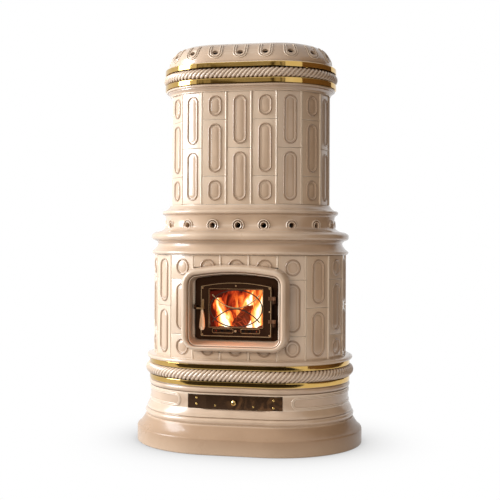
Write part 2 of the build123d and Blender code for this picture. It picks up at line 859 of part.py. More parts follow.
with BuildPart() as baffle:
    with BuildSketch(Plane.XY.offset(hearth_top + brick_height)) as plate:
        with Locations((0, (room_back - baffle_front) / 2)):
            Rectangle(2 * room_half, baffle_front + room_back)
    extrude(plate.sketch, amount=baffle_thickness)
baffle.part.label = "baffle"
export_step(baffle.part, "parts/baffle.step")

with BuildPart() as ash_chute:
    chute_foot = slot_top + chute_gap
    with BuildSketch(Plane.XY.offset(chute_foot)) as chute:
        Rectangle(grate_width + 2 * chute_sheet, grate_depth + 2 * chute_sheet)
        Rectangle(grate_width, grate_depth, mode=Mode.SUBTRACT)
    extrude(chute.sketch, amount=shell_foot - chute_foot)
ash_chute.part.label = "ash_chute"
export_step(ash_chute.part, "parts/ash_chute.step")

# ---- steel frame and smoke path
with BuildPart() as tie_plate:
    extrude(level(stadium(tie_plate_radius), cornice_top - tie_plate_thickness), amount=tie_plate_thickness)
    with BuildSketch(Plane.XY.offset(cornice_top - tie_plate_thickness)) as hole:
        RegularPolygon(flue_radius + clearance, riser_sides)
    extrude(hole.sketch, amount=tie_plate_thickness, mode=Mode.SUBTRACT)
tie_plate.part.label = "tie_plate"
export_step(tie_plate.part, "parts/tie_plate.step")

with BuildPart() as posts:
    with BuildSketch(Plane.XY.offset(torus_foot)) as sections:
        with GridLocations(2 * post_x, 2 * post_y, 2, 2):
            Rectangle(post_width, post_depth)
    extrude(sections.sketch, amount=cornice_top - tie_plate_thickness - torus_foot)
posts.part.label = "posts"
export_step(posts.part, "parts/posts.step")

with BuildPart() as shell_brackets:
    with BuildSketch(Plane.XY.offset(shell_foot - post_width)) as arms:
        with GridLocations(2 * (post_x - post_width / 2 - shell_sheet), 2 * post_y, 2, 2):
            Rectangle(2 * shell_sheet + post_width / 2, post_depth)
    extrude(arms.sketch, amount=post_width)
    with BuildSketch(Plane.XY.offset(shell_foot - post_width)) as uprights:
        with GridLocations(2 * post_x, 2 * post_y, 2, 2):
            Rectangle(post_width, post_depth)
    extrude(uprights.sketch, amount=post_width, mode=Mode.SUBTRACT)
shell_brackets.part.label = "shell_brackets"
export_step(shell_brackets.part, "parts/shell_brackets.step")

with BuildPart() as riser:
    with BuildSketch(Plane.XY.offset(shell_head)) as tube:
        RegularPolygon(flue_radius, riser_sides)
        RegularPolygon(flue_radius - flue_sheet, riser_sides, mode=Mode.SUBTRACT)
    extrude(tube.sketch, amount=chamber_foot - shell_head)
riser.part.label = "riser"
export_step(riser.part, "parts/riser.step")

with BuildPart() as smoke_chamber:
    with BuildSketch(Plane.XY.offset(chamber_foot)) as footprint:
        Rectangle(2 * chamber_half, 2 * chamber_depth)
    extrude(footprint.sketch, amount=chamber_head - chamber_foot)
    with BuildSketch(Plane.XY.offset(chamber_foot + chamber_sheet)) as room:
        Rectangle(2 * (chamber_half - chamber_sheet), 2 * (chamber_depth - chamber_sheet))
    extrude(room.sketch, amount=chamber_head - chamber_foot - 2 * chamber_sheet, mode=Mode.SUBTRACT)
    with BuildSketch(Plane.XY.offset(chamber_foot)) as inlet:
        RegularPolygon(flue_radius - flue_sheet, riser_sides)
    extrude(inlet.sketch, amount=chamber_sheet, mode=Mode.SUBTRACT)
    with BuildSketch(Plane.XZ.offset(-chamber_depth)) as outlet:
        with Locations((0, flue_height)):
            Circle(flue_radius)
    extrude(outlet.sketch, amount=chamber_sheet, mode=Mode.SUBTRACT)
smoke_chamber.part.label = "smoke_chamber"
export_step(smoke_chamber.part, "parts/smoke_chamber.step")

with BuildPart() as flue_collar:
    with BuildSketch(Plane.XZ.offset(-chamber_depth)) as tube:
        with Locations((0, flue_height)):
            RegularPolygon(flue_radius + flue_sheet, collar_sides)
            Circle(flue_radius, mode=Mode.SUBTRACT)
    extrude(tube.sketch, amount=-(upper_radius + collar_reach - chamber_depth))
flue_collar.part.label = "flue_collar"
export_step(flue_collar.part, "parts/flue_collar.step")

with BuildPart() as flue_rosette:
    with BuildSketch(Plane.XZ.offset(-upper_radius - medallion_depth)) as ring:
        with Locations((0, flue_height)):
            RegularPolygon(rosette_radius, rosette_sides)
            RegularPolygon(flue_radius + flue_sheet + 3 * clearance, rosette_sides, mode=Mode.SUBTRACT)
    extrude(ring.sketch, amount=-rosette_thickness)
flue_rosette.part.label = "flue_rosette"
export_step(flue_rosette.part, "parts/flue_rosette.step")

# ---- door frame, with the fixed halves of the hinges and the keeper
with BuildPart() as door_frame:
    frame_rows = [surround_row(reach, -frame_gap, -frame_gap) for reach in (-surround_depth, -frame_recess)]
    add(faceted(frame_rows))
    extrude(
        leaf_outline(-frame_recess, aperture_inset), amount=frame_recess - surround_depth, mode=Mode.SUBTRACT
    )
    for height in (hinge_height_lower, hinge_height_upper):
        with BuildSketch(Plane.XY.offset(height)) as knuckle:
            with Locations((hinge_x, -lower_radius - leaf_reach)):
                RegularPolygon(knuckle_radius, knuckle_sides)
            with Locations((hinge_x, -lower_radius - (leaf_reach - frame_recess) / 2)):
                Rectangle(knuckle_radius, leaf_reach + frame_recess)
            with Locations((hinge_x, -lower_radius - leaf_reach)):
                Circle(pin_radius, mode=Mode.SUBTRACT)
        extrude(knuckle.sketch, amount=knuckle_height)
door_frame.part.label = "door_frame"
export_step(door_frame.part, "parts/door_frame.step")

with BuildPart() as hinge_pins:
    for height in (hinge_height_lower, hinge_height_upper):
        with BuildSketch(Plane.XY.offset(height)) as pin:
            with Locations((hinge_x, -lower_radius - leaf_reach)):
                Circle(pin_radius)
        extrude(pin.sketch, amount=2 * knuckle_height + clearance)
hinge_pins.part.label = "hinge_pins"
export_step(hinge_pins.part, "parts/hinge_pins.step")

lever_back = leaf_reach + lever_gap
lever_front = lever_back + lever_thickness
tongue_level = pivot_height - lever_drop
keeper_foot = tongue_level + tongue_height / 2 + clearance
keeper_x = -(leaf_half + tongue_reach - keeper_width / 2)
with BuildPart() as latch_keeper:
    with BuildSketch(front(-frame_recess)) as block:
        with Locations((keeper_x, keeper_foot + keeper_height / 2)):
            Rectangle(keeper_width, keeper_height)
    extrude(block.sketch, amount=frame_recess + lever_front + clearance + keeper_hook)
    with BuildSketch(front(lever_front + clearance)) as hook:
        with Locations((keeper_x, keeper_foot - tongue_height / 2)):
            Rectangle(keeper_width, tongue_height)
    extrude(hook.sketch, amount=keeper_hook)
latch_keeper.part.label = "latch_keeper"
export_step(latch_keeper.part, "parts/latch_keeper.step")

# ---- door leaf and what is fixed to it
register_half = register_start + (register_count - 1) * register_pitch + register_window
stem_slot = register_travel + 2 * register_stem + 2 * clearance


def register_windows(reach, shift, depth):
    """The row of air windows on both sides of the middle."""
    middle = (register_count - 1) * register_pitch / 2 + register_start
    with BuildSketch(front(reach)) as windows:
        for side in (-middle, middle):
            with Locations((side + shift, register_height)):
                with GridLocations(register_pitch, 0, register_count, 1):
                    Rectangle(register_window, register_slot)
    return extrude(windows.sketch, amount=-depth)


with BuildPart() as door_leaf:
    extrude(leaf_outline(leaf_reach, 0.0), amount=-leaf_thickness)
    with BuildSketch(front(leaf_reach)) as window:
        with Locations((0, window_middle)):
            Rectangle(2 * window_half, window_rise)
        with Locations((register_travel / 2, register_height)):
            Rectangle(stem_slot, register_slot)
        with Locations((pivot_x, pivot_height)):
            Circle(spindle_radius + running_clearance)
    extrude(window.sketch, amount=-leaf_thickness, mode=Mode.SUBTRACT)
    add(register_windows(leaf_reach, 0.0, leaf_thickness), mode=Mode.SUBTRACT)
    with BuildSketch(front(leaf_back)) as guides:
        for side in (-1, 1):
            with Locations((0, register_height + side * (register_rise + clearance + register_guide / 2))):
                Rectangle(2 * register_half, register_guide)
    extrude(guides.sketch, amount=-register_thickness - clearance)
door_leaf.part.label = "door_leaf"
export_step(door_leaf.part, "parts/door_leaf.step")

with BuildPart() as door_hinges:
    for height in (hinge_height_lower, hinge_height_upper):
        with BuildSketch(Plane.XY.offset(height + knuckle_height + clearance)) as knuckle:
            with Locations((hinge_x, -lower_radius - leaf_reach)):
                RegularPolygon(knuckle_radius, knuckle_sides)
            with Locations((hinge_x - strap_length / 2, -lower_radius - strap_reach - strap_thickness / 2)):
                Rectangle(strap_length, strap_thickness)
            with Locations((hinge_x, -lower_radius - leaf_reach)):
                Circle(pin_radius + running_clearance, mode=Mode.SUBTRACT)
        extrude(knuckle.sketch, amount=knuckle_height)
door_hinges.part.label = "door_hinges"
export_step(door_hinges.part, "parts/door_hinges.step")

with BuildPart() as door_seal:
    extrude(leaf_outline(leaf_back, seal_inset), amount=-leaf_back - frame_recess + clearance)
    extrude(
        leaf_outline(leaf_back, seal_inset + seal_width),
        amount=-leaf_back - frame_recess,
        mode=Mode.SUBTRACT,
    )
door_seal.part.label = "door_seal"
export_step(door_seal.part, "parts/door_seal.step")

with BuildPart() as glass_seal:
    with BuildSketch(front(leaf_back)) as ring:
        with Locations((0, window_middle)):
            Rectangle(2 * (window_half + glass_lap), window_rise + 2 * glass_lap)
            Rectangle(2 * window_half, window_rise, mode=Mode.SUBTRACT)
    extrude(ring.sketch, amount=-glass_seal_thickness)
glass_seal.part.label = "glass_seal"
export_step(glass_seal.part, "parts/glass_seal.step")

with BuildPart() as door_glass:
    with BuildSketch(front(leaf_back - glass_seal_thickness)) as pane:
        with Locations((0, window_middle)):
            Rectangle(2 * (window_half + glass_lap), window_rise + 2 * glass_lap)
    extrude(pane.sketch, amount=-glass_thickness)
door_glass.part.label = "door_glass"
export_step(door_glass.part, "parts/door_glass.step")

with BuildPart() as tracery:
    with BuildSketch(front(leaf_reach - bar_thickness)) as bars:
        with Locations((0, window_middle)):
            Ellipse(tracery_half, tracery_rise)
            Ellipse(tracery_half - bar_width, tracery_rise - bar_width, mode=Mode.SUBTRACT)
        for side in (-1, 1):
            tip = window_middle + side * crossing_rise
            near = window_middle + side * bar_width / 2
            SlotArc(
                ThreePointArc((-crossing_half, tip), (0, near), (crossing_half, tip)), height=bar_width
            )
        with Locations((0, window_middle)):
            Rectangle(2 * window_half, window_rise, mode=Mode.INTERSECT)
    extrude(bars.sketch, amount=bar_thickness)
tracery.part.label = "tracery"
export_step(tracery.part, "parts/tracery.step")

with BuildPart() as trim_beads:
    extrude(leaf_outline(leaf_reach, trim_inset), amount=trim_thickness)
    extrude(leaf_outline(leaf_reach, trim_inset + trim_width), amount=trim_thickness, mode=Mode.SUBTRACT)
trim_beads.part.label = "trim_beads"
export_step(trim_beads.part, "parts/trim_beads.step")

with BuildPart() as door_screws:
    with BuildSketch(front(leaf_reach)) as heads:
        with Locations((0, (leaf_foot + leaf_spring) / 2)):
            with GridLocations(
                2 * (leaf_half - screw_inset), leaf_spring - leaf_foot - 2 * screw_inset, 2, 2
            ):
                RegularPolygon(screw_radius, 6)
    extrude(heads.sketch, amount=screw_height)
door_screws.part.label = "door_screws"
export_step(door_screws.part, "parts/door_screws.step")

# ---- air register
with BuildPart() as register_plate:
    with BuildSketch(front(leaf_back - clearance / 2)) as strip:
        with Locations((0, register_height)):
            Rectangle(2 * (register_half - register_travel), 2 * register_rise)
    extrude(strip.sketch, amount=-register_thickness)
    add(
        register_windows(leaf_back - clearance / 2, -register_travel, register_thickness),
        mode=Mode.SUBTRACT,
    )
register_plate.part.label = "register_plate"
export_step(register_plate.part, "parts/register_plate.step")

with BuildPart() as register_knob:
    with BuildSketch(front(leaf_back - clearance / 2)) as stem:
        with Locations((0, register_height)):
            Circle(register_stem)
    extrude(stem.sketch, amount=leaf_thickness + clearance + register_knob_length)
    with BuildSketch(front(leaf_reach + clearance)) as button:
        with Locations((0, register_height)):
            RegularPolygon(register_knob_radius, knob_sides)
    extrude(button.sketch, amount=register_knob_length)
register_knob.part.label = "register_knob"
export_step(register_knob.part, "parts/register_knob.step")

# ---- handle: spindle, lever with its tongue, hanging grip
with BuildPart() as handle_lever:
    with BuildSketch(front(leaf_back)) as spindle:
        with Locations((pivot_x, pivot_height)):
            RegularPolygon(spindle_radius, spindle_sides)
    extrude(spindle.sketch, amount=lever_front - leaf_back + lever_gap)
    with BuildSketch(front(lever_back)) as lever:
        with Locations((pivot_x, pivot_height - lever_drop / 2)):
            SlotCenterToCenter(lever_drop, lever_width, rotation=90)
        with Locations(((pivot_x - leaf_half - tongue_reach) / 2, tongue_level)):
            Rectangle(leaf_half + tongue_reach + pivot_x, tongue_height)
    extrude(lever.sketch, amount=lever_thickness)
    with BuildSketch(front(lever_front)) as stand:
        with Locations((pivot_x, tongue_level)):
            RegularPolygon(grip_neck_radius, spindle_sides)
    extrude(stand.sketch, amount=grip_stand)
handle_lever.part.label = "handle_lever"
export_step(handle_lever.part, "parts/handle_lever.step")

grip_profile = (
    (0.0, grip_neck_radius),
    (0.12, grip_radius * 0.5),
    (0.6, grip_radius * 0.92),
    (0.86, grip_radius),
    (1.0, grip_radius * 0.55),
)
grip_top = tongue_level - grip_neck_radius
grip_origin = Vector(pivot_x, -lower_radius - lever_front - grip_stand, grip_top)
with BuildPart() as door_grip:
    add(turned(grip_origin, Vector(0, 0, -grip_length), grip_profile))
door_grip.part.label = "door_grip"
export_step(door_grip.part, "parts/door_grip.step")

# ---- ash drawer
plate_back = frieze_radius + clearance
with BuildPart() as drawer_front:
    with BuildSketch(Plane.XY.offset(frieze_foot + plate_margin)) as plate:
        Polygon(*stadium(plate_back + plate_thickness), align=None)
        Polygon(*stadium(plate_back), align=None, mode=Mode.SUBTRACT)
        with Locations((0, -lower_radius)):
            Rectangle(2 * plate_half, lower_radius, mode=Mode.INTERSECT)
    extrude(plate.sketch, amount=frieze_height - 2 * plate_margin)
drawer_front.part.label = "drawer_front"
export_step(drawer_front.part, "parts/drawer_front.step")

pan_foot = slot_foot + clearance + 1
pan_height = slot_top - slot_foot - 6
with BuildPart() as ash_pan:
    with BuildSketch(Plane.XY.offset(pan_foot)) as tray:
        Polygon(*stadium(plate_back), align=None)
        with Locations((0, -(frieze_radius + pan_back) / 2 - pan_back)):
            Rectangle(2 * pan_half, frieze_radius + pan_back, mode=Mode.INTERSECT)
    extrude(tray.sketch, amount=pan_height)
    with BuildSketch(Plane.XY.offset(pan_foot + pan_sheet)) as hollow:
        Polygon(*stadium(plate_back - pan_sheet), align=None)
        with Locations((0, -(frieze_radius + pan_back) / 2 - pan_back - pan_sheet)):
            Rectangle(2 * (pan_half - pan_sheet), frieze_radius + pan_back, mode=Mode.INTERSECT)
    extrude(hollow.sketch, amount=pan_height, mode=Mode.SUBTRACT)
ash_pan.part.label = "ash_pan"
export_step(ash_pan.part, "parts/ash_pan.step")

knob_level = frieze_foot + frieze_height / 2
knob_profile = (
    (0.0, knob_stem),
    (0.35, knob_stem),
    (0.55, knob_radius),
    (0.8, knob_radius),
    (1.0, knob_radius * 0.6),
)
knob_origin = Vector(0, -plate_back - plate_thickness, knob_level)
with BuildPart() as drawer_knob:
    add(turned(knob_origin, Vector(0, -knob_reach, 0), knob_profile))
drawer_knob.part.label = "drawer_knob"
export_step(drawer_knob.part, "parts/drawer_knob.step")

with BuildPart() as pan_runners:
    with BuildSketch(Plane.XY.offset(torus_foot)) as rails:
        with Locations((0, -runner_front + runner_length / 2)):
            with GridLocations(2 * pan_half - runner_width, 0, 2, 1):
                Rectangle(runner_width, runner_length)
    extrude(rails.sketch, amount=pan_foot - clearance - torus_foot)
pan_runners.part.label = "pan_runners"
export_step(pan_runners.part, "parts/pan_runners.step")
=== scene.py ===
# %% [markdown]
# # Dressing a tall tiled stove
# The stove is a steel fire chamber inside two bodies of glazed tiles. The bodies stand on a wide
# moulded foot, and every ring follows one plan: a straight front and back with half-round ends.
# This lesson loads the measured model, keeps its door and its steel parts, and rebuilds the
# ceramic with soft edges, relief and glaze.

# %% Load the measured model
import random
from math import cos, pi, radians, sin, sqrt

import bmesh
import bpy
from mathutils import Matrix, Vector


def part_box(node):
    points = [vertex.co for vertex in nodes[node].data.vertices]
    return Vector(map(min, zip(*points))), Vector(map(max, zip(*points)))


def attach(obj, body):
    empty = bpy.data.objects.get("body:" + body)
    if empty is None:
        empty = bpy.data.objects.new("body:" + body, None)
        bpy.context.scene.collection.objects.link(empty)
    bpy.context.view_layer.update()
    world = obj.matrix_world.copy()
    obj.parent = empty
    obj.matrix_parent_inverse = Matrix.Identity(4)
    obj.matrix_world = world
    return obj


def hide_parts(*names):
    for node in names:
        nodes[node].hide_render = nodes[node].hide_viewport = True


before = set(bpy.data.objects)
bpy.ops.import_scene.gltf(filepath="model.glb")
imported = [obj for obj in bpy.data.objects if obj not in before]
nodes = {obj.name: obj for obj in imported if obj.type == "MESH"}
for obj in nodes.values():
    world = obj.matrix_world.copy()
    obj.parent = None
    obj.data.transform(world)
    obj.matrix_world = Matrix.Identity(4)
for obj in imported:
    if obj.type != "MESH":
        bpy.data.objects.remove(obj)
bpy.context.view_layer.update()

# %% [markdown]
# ## The plan
# Every level of the stove is the same curve at another distance from a short straight spine.
# One function gives a point of that curve from the distance walked along it, so that tiles,
# vents and rope strands can all be spaced evenly round the stove.

# %% Walk along the plan
HALF_FLAT = 0.129
LOWER_RADIUS = 0.337
UPPER_RADIUS = 0.258


def plan_length(radius):
    return 4 * HALF_FLAT + 2 * pi * radius


def plan_point(distance, radius, reach=None):
    """Point of the curve at a distance along it from the middle of the front, at another reach."""
    reach = radius if reach is None else reach
    arc = pi * radius
    along = distance % plan_length(radius)
    if along <= HALF_FLAT:
        return along, -reach
    if along <= HALF_FLAT + arc:
        turn = (along - HALF_FLAT) / radius
        return HALF_FLAT + reach * sin(turn), -reach * cos(turn)
    if along <= 3 * HALF_FLAT + arc:
        return 2 * HALF_FLAT + arc - along, reach
    if along <= 3 * HALF_FLAT + 2 * arc:
        turn = (along - 3 * HALF_FLAT - arc) / radius
        return -HALF_FLAT - reach * sin(turn), reach * cos(turn)
    return along - 4 * HALF_FLAT - 2 * arc, -reach


print("lower body round", round(plan_length(LOWER_RADIUS), 3), "m")

# %% [markdown]
# ## Materials
# Glazed ceramic is a stained body under a thick glossy glass. The glaze runs thin on edges,
# where the body shows lighter, and pools in the grooves, where it looks darker. One node group
# makes that from the mesh's own curvature, and adds painted shade in narrow corners and under
# ledges with the same dark colour. Each ceramic colour uses it with its own values.


# %% Short ways to write a node
def feed(tree, target, inputs):
    """Fills a node's inputs, each with a value or with another node's output."""
    for key, value in inputs.items():
        if isinstance(value, bpy.types.NodeSocket):
            tree.links.new(value, target.inputs[key])
        else:
            target.inputs[key].default_value = value


def node(tree, kind, inputs=None, **settings):
    """A shader node of a kind, such as TexCoord, with its settings and inputs."""
    made = tree.nodes.new("ShaderNode" + kind)
    for key, value in settings.items():
        setattr(made, key, value)
    feed(tree, made, inputs or {})
    return made


def ranged(tree, value, low, high, to_low=0.0, to_high=1.0, **settings):
    """Stretches a range of a value to another range, 0 to 1 unless told otherwise."""
    ends = {"From Min": low, "From Max": high, "To Min": to_low, "To Max": to_high}
    return node(tree, "MapRange", {"Value": value, **ends}, **settings).outputs["Result"]


def maths(tree, operation, *terms):
    return node(tree, "Math", dict(enumerate(terms)), operation=operation).outputs[0]


def mixed(tree, factor, a, b):
    inputs = {"Factor": factor, "A": a, "B": b}
    return node(tree, "Mix", inputs, data_type="RGBA").outputs["Result"]


def own_place(tree):
    return node(tree, "TexCoord").outputs["Object"]


def noise(tree, scale, place=None, **inputs):
    """Noise at a place, or else at the object's own coordinates."""
    place = place or own_place(tree)
    return node(tree, "TexNoise", {"Vector": place, "Scale": scale, **inputs}).outputs["Fac"]


def principled(name):
    material = bpy.data.materials.new(name)
    material.use_nodes = True
    tree = material.node_tree
    return material, tree, tree.nodes["Principled BSDF"]


def new_group(name, inputs):
    """A node group that gives a colour, a roughness and a height. Inputs: labels and values."""
    group = bpy.data.node_groups.new(name, "ShaderNodeTree")
    for label, value in inputs.items():
        kind = "NodeSocketColor" if isinstance(value, tuple) else "NodeSocketFloat"
        group.interface.new_socket(label, in_out="INPUT", socket_type=kind).default_value = value
    for label, kind in (("Colour", "Color"), ("Roughness", "Float"), ("Height", "Float")):
        group.interface.new_socket(label, in_out="OUTPUT", socket_type="NodeSocket" + kind)
    start = group.nodes.new("NodeGroupInput")
    end = group.nodes.new("NodeGroupOutput")
    return group, start.outputs, end


def surfaced(name, group, inputs, bump_strength, bump_height, shader_inputs):
    """A material that takes its colour, roughness and bumps from one of the groups."""
    material, tree, shader = principled(name)
    surface = node(tree, "Group", inputs, node_tree=group).outputs
    bump = node(tree, "Bump", {
        "Strength": bump_strength, "Distance": bump_height, "Height": surface["Height"],
    })
    feed(tree, shader, {
        "Base Color": surface["Colour"], "Roughness": surface["Roughness"],
        "Normal": bump.outputs["Normal"], **shader_inputs,
    })
    return material


print("helpers ready")


# %% A group for glaze that pools and thins, with painted shade in corners
def make_pooling_with_shade():
    group, given, end = new_group("glaze_pooling_with_shade", {
        "Colour": (0.8, 0.65, 0.5, 1), "Pooled And Shade": (0.4, 0.28, 0.18, 1), "Thin": (0.9, 0.8, 0.68, 1),
        "Cloud Scale": 6.0,
    })
    bend = node(group, "NewGeometry").outputs["Pointiness"]
    groove = ranged(group, bend, 0.49, 0.43)
    edge = ranged(group, bend, 0.52, 0.58)
    # Painted shade: ambient occlusion darkens narrow corners and the undersides of ledges with the pooled
    # colour.
    corner = node(group, "AmbientOcclusion", {"Distance": 0.014}, samples=6).outputs["AO"]
    groove_and_painted_shade = maths(group, "MAXIMUM", groove, ranged(group, corner, 0.86, 0.42))
    cloud = noise(group, given["Cloud Scale"], Detail=5.0)
    pooled_and_painted_shade = maths(group, "MAXIMUM", groove_and_painted_shade, ranged(group, cloud, 0.35, 0.7, 0.0, 0.35))
    body = mixed(group, pooled_and_painted_shade, given["Colour"], given["Pooled And Shade"])
    feed(group, end, {
        "Colour": mixed(group, edge, body, given["Thin"]),
        "Roughness": ranged(group, cloud, 0.0, 1.0, 0.22, 0.38),
        "Height": maths(group, "MULTIPLY_ADD", noise(group, 240.0), 0.25, cloud),
    })
    return group


pooling_with_shade = make_pooling_with_shade()
print("glaze group", len(pooling_with_shade.nodes), "nodes")


# %% Ceramic, and a darker copy of it as painted shade for the plinth
def glazed(name, colour, pooled_and_painted_shade, thin, coat=0.6, specular=0.5):
    inputs = {"Colour": (*colour, 1), "Pooled And Shade": (*pooled_and_painted_shade, 1), "Thin": (*thin, 1)}
    return surfaced(name, pooling_with_shade, inputs, 0.12, 0.004, {
        "Coat Weight": coat, "Coat Roughness": 0.14, "Specular IOR Level": specular,
    })


cream_glaze = glazed("cream_glaze", (0.6, 0.435, 0.305), (0.22, 0.13, 0.075), (0.76, 0.62, 0.48))
# Painted shade: the plinth's glaze is the cream glaze made darker, for the light that falls off towards the
# floor.
plinth_painted_shade_glaze = glazed(
    "plinth_painted_shade_glaze", (0.4, 0.262, 0.165), (0.25, 0.15, 0.085), (0.56, 0.41, 0.29), 0.2, 0.2
)
print("ceramics", cream_glaze.name, plinth_painted_shade_glaze.name)


# %% [markdown]
# ## Metals, glass and brick
# Brass is a real metal shader with faint polishing marks, and cast iron is nearly black with a
# grain of casting sand. Both come from one group, as do the fire brick and the sealing rope.


# %% A group for brushed or cast grain
def make_grain():
    group, given, end = new_group("metal_grain", {
        "Colour": (0.5, 0.5, 0.5, 1), "Worn": (0.7, 0.7, 0.7, 1), "Scale": 200.0,
        "Rough Low": 0.2, "Rough High": 0.4,
    })
    grain = noise(group, given["Scale"], Detail=6.0)
    edge = ranged(group, node(group, "NewGeometry").outputs["Pointiness"], 0.52, 0.62)
    stain = ranged(group, noise(group, 14.0), 0.45, 0.8, 0.0, 0.5)
    worn = maths(group, "MAXIMUM", edge, stain)
    feed(group, end, {
        "Colour": mixed(group, worn, given["Colour"], given["Worn"]),
        "Roughness": ranged(group, grain, 0.0, 1.0, given["Rough Low"], given["Rough High"]),
        "Height": grain,
    })
    return group


grain_group = make_grain()
print("grain group", len(grain_group.nodes), "nodes")


# %% Metals, brick and sealing rope
def grained(
    name, colour, worn, scale, low, high, metallic, bump_height=0.0005, bump_strength=0.15, specular=0.5
):
    inputs = {
        "Colour": (*colour, 1), "Worn": (*worn, 1), "Scale": scale, "Rough Low": low, "Rough High": high,
    }
    return surfaced(name, grain_group, inputs, bump_strength, bump_height, {
        "Metallic": metallic, "Specular IOR Level": specular,
    })


brass = grained("polished_brass", (0.6, 0.38, 0.11), (0.74, 0.51, 0.2), 60, 0.04, 0.1, 1.0, 0.0002, 0.08)
gilt = grained("gilt_line", (0.46, 0.26, 0.11), (0.78, 0.55, 0.32), 300, 0.22, 0.38, 0.55)
cast_iron = grained(
    "cast_iron", (0.02, 0.008, 0.004), (0.06, 0.027, 0.013), 420, 0.34, 0.6, 0.4, specular=0.12
)
sooty_iron = grained(
    "sooty_iron", (0.012, 0.008, 0.006), (0.03, 0.018, 0.012), 300, 0.85, 1.0, 0.0, specular=0.1
)
warm_iron = grained("warm_iron", (0.06, 0.026, 0.012), (0.26, 0.13, 0.07), 260, 0.22, 0.4, 0.6)
rod_iron = grained("rod_iron", (0.03, 0.012, 0.006), (0.08, 0.04, 0.02), 260, 0.3, 0.5, 0.2)
steel = grained("dark_steel", (0.05, 0.05, 0.052), (0.12, 0.12, 0.12), 260, 0.3, 0.55, 0.8)
# Painted reflection: the grip's orange colour stands for the fire mirrored in its polished metal.
grip_painted_reflection = grained("grip_painted_reflection", (0.72, 0.36, 0.16), (0.95, 0.72, 0.5), 120, 0.1, 0.2, 0.25)
fire_brick = grained("fire_brick", (0.3, 0.16, 0.08), (0.1, 0.06, 0.04), 55, 0.7, 0.95, 0.0, 0.004, 0.5)
seal_rope = grained("seal_rope", (0.1, 0.09, 0.08), (0.2, 0.18, 0.16), 500, 0.8, 1.0, 0.0)

pane, pane_tree, pane_shader = principled("oven_glass")
feed(pane_tree, pane_shader, {
    "Base Color": (1, 0.97, 0.93, 1), "Transmission Weight": 1.0, "Roughness": 0.02, "IOR": 1.1,
})
print("metals, brick, seal and pane done")

# %% The drawer plate, warm brown at its right half
# The right half of the plate shows a warm, cloudy tint.
plate_bronze = grained("plate_bronze", (0.016, 0.008, 0.004), (0.06, 0.028, 0.012), 90, 0.1, 0.26, 0.75)
tree = plate_bronze.node_tree
sideways = node(tree, "SeparateXYZ", {"Vector": own_place(tree)}).outputs["X"]
right_half = ranged(tree, sideways, -0.08, 0.02)
right_cloud_mask = ranged(tree, noise(tree, 9.0, Distortion=2.5), 0.47, 0.62)
tint = maths(tree, "MULTIPLY", right_cloud_mask, right_half)
plain = tree.nodes["Group"].outputs["Colour"]
feed(tree, tree.nodes["Principled BSDF"], {"Base Color": mixed(tree, tint, plain, (0.16, 0.075, 0.03, 1))})
print("plate", plate_bronze.name)

# %% A finish for every measured piece
FINISHES = (
    (cream_glaze, "base_torus base_frieze base_cap rope_rings tile_seat door_surround surround_arch"),
    (cream_glaze, "lower_cornice vent_cornice top_moulding dome_cap lower_middle_tiles"),
    (cream_glaze, "lower_side_tiles upper_middle_tiles upper_side_tiles"),
    (plinth_painted_shade_glaze, "plinth"), (plate_bronze, "drawer_front"), (brass, "brass_bands drawer_knob"),
    (cast_iron, "door_frame door_leaf latch_keeper"), (warm_iron, "door_hinges tracery"),
    (sooty_iron, "grate log_retainer"), (gilt, "trim_beads handle_lever register_knob"),
    (grip_painted_reflection, "door_grip"), (fire_brick, "hearth_slab lining_bricks baffle"),
    (pane, "door_glass"), (seal_rope, "door_seal glass_seal"),
)
finish_of = {name: finish for finish, names in FINISHES for name in names.split()}
for name, thing in nodes.items():
    thing.data.materials.clear()
    thing.data.materials.append(finish_of.get(name, steel))
print("finishes on", len(nodes), "nodes")


# %% [markdown]
# ## Moulded rings
# A plaster mould for such a ring is swept: one section is pulled round the plan. The operators do
# the same. A closed section is extruded along the straight front, spun round the right end,
# extruded along the back and spun round the left end.


# %% Sweep a section round the plan
def mesh_from(name, bm):
    """The mesh of a bmesh, which isn't needed any more."""
    mesh = bpy.data.meshes.new(name)
    bm.to_mesh(mesh)
    bm.free()
    return mesh


def new_object(name, data):
    """A new object in the scene, at the origin."""
    made = bpy.data.objects.new(name, data)
    bpy.context.collection.objects.link(made)
    return made


def outward(bm):
    """Turns every face outward."""
    bmesh.ops.recalc_face_normals(bm, faces=bm.faces[:])


def add_part(bm, part):
    """Moves a part's faces into a larger bmesh."""
    mesh = mesh_from("part", part)
    bm.from_mesh(mesh)
    bpy.data.meshes.remove(mesh)


def finished(name, bm, material, body="stove", sharp=32):
    """A finished object at the origin, from a bmesh, smooth but for its real edges."""
    mesh = mesh_from(name, bm)
    mesh.shade_smooth()
    mesh.set_sharp_from_angle(angle=radians(sharp))
    mesh.materials.append(material)
    made = new_object(name, mesh)
    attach(made, body)
    return made


def verts_in(geom):
    return [g for g in geom if isinstance(g, bmesh.types.BMVert)]


def edges_in(geom, among=None):
    """The edges, or only those with both ends among some verts."""
    edges = [g for g in geom if isinstance(g, bmesh.types.BMEdge)]
    return [e for e in edges if among is None or set(e.verts) <= set(among)]


def extruded(bm, edges):
    """The new copies of the verts and edges of a loop, joined to it by faces."""
    geom = bmesh.ops.extrude_edge_only(bm, edges=edges)["geom"]
    verts = verts_in(geom)
    return verts, edges_in(geom, verts)


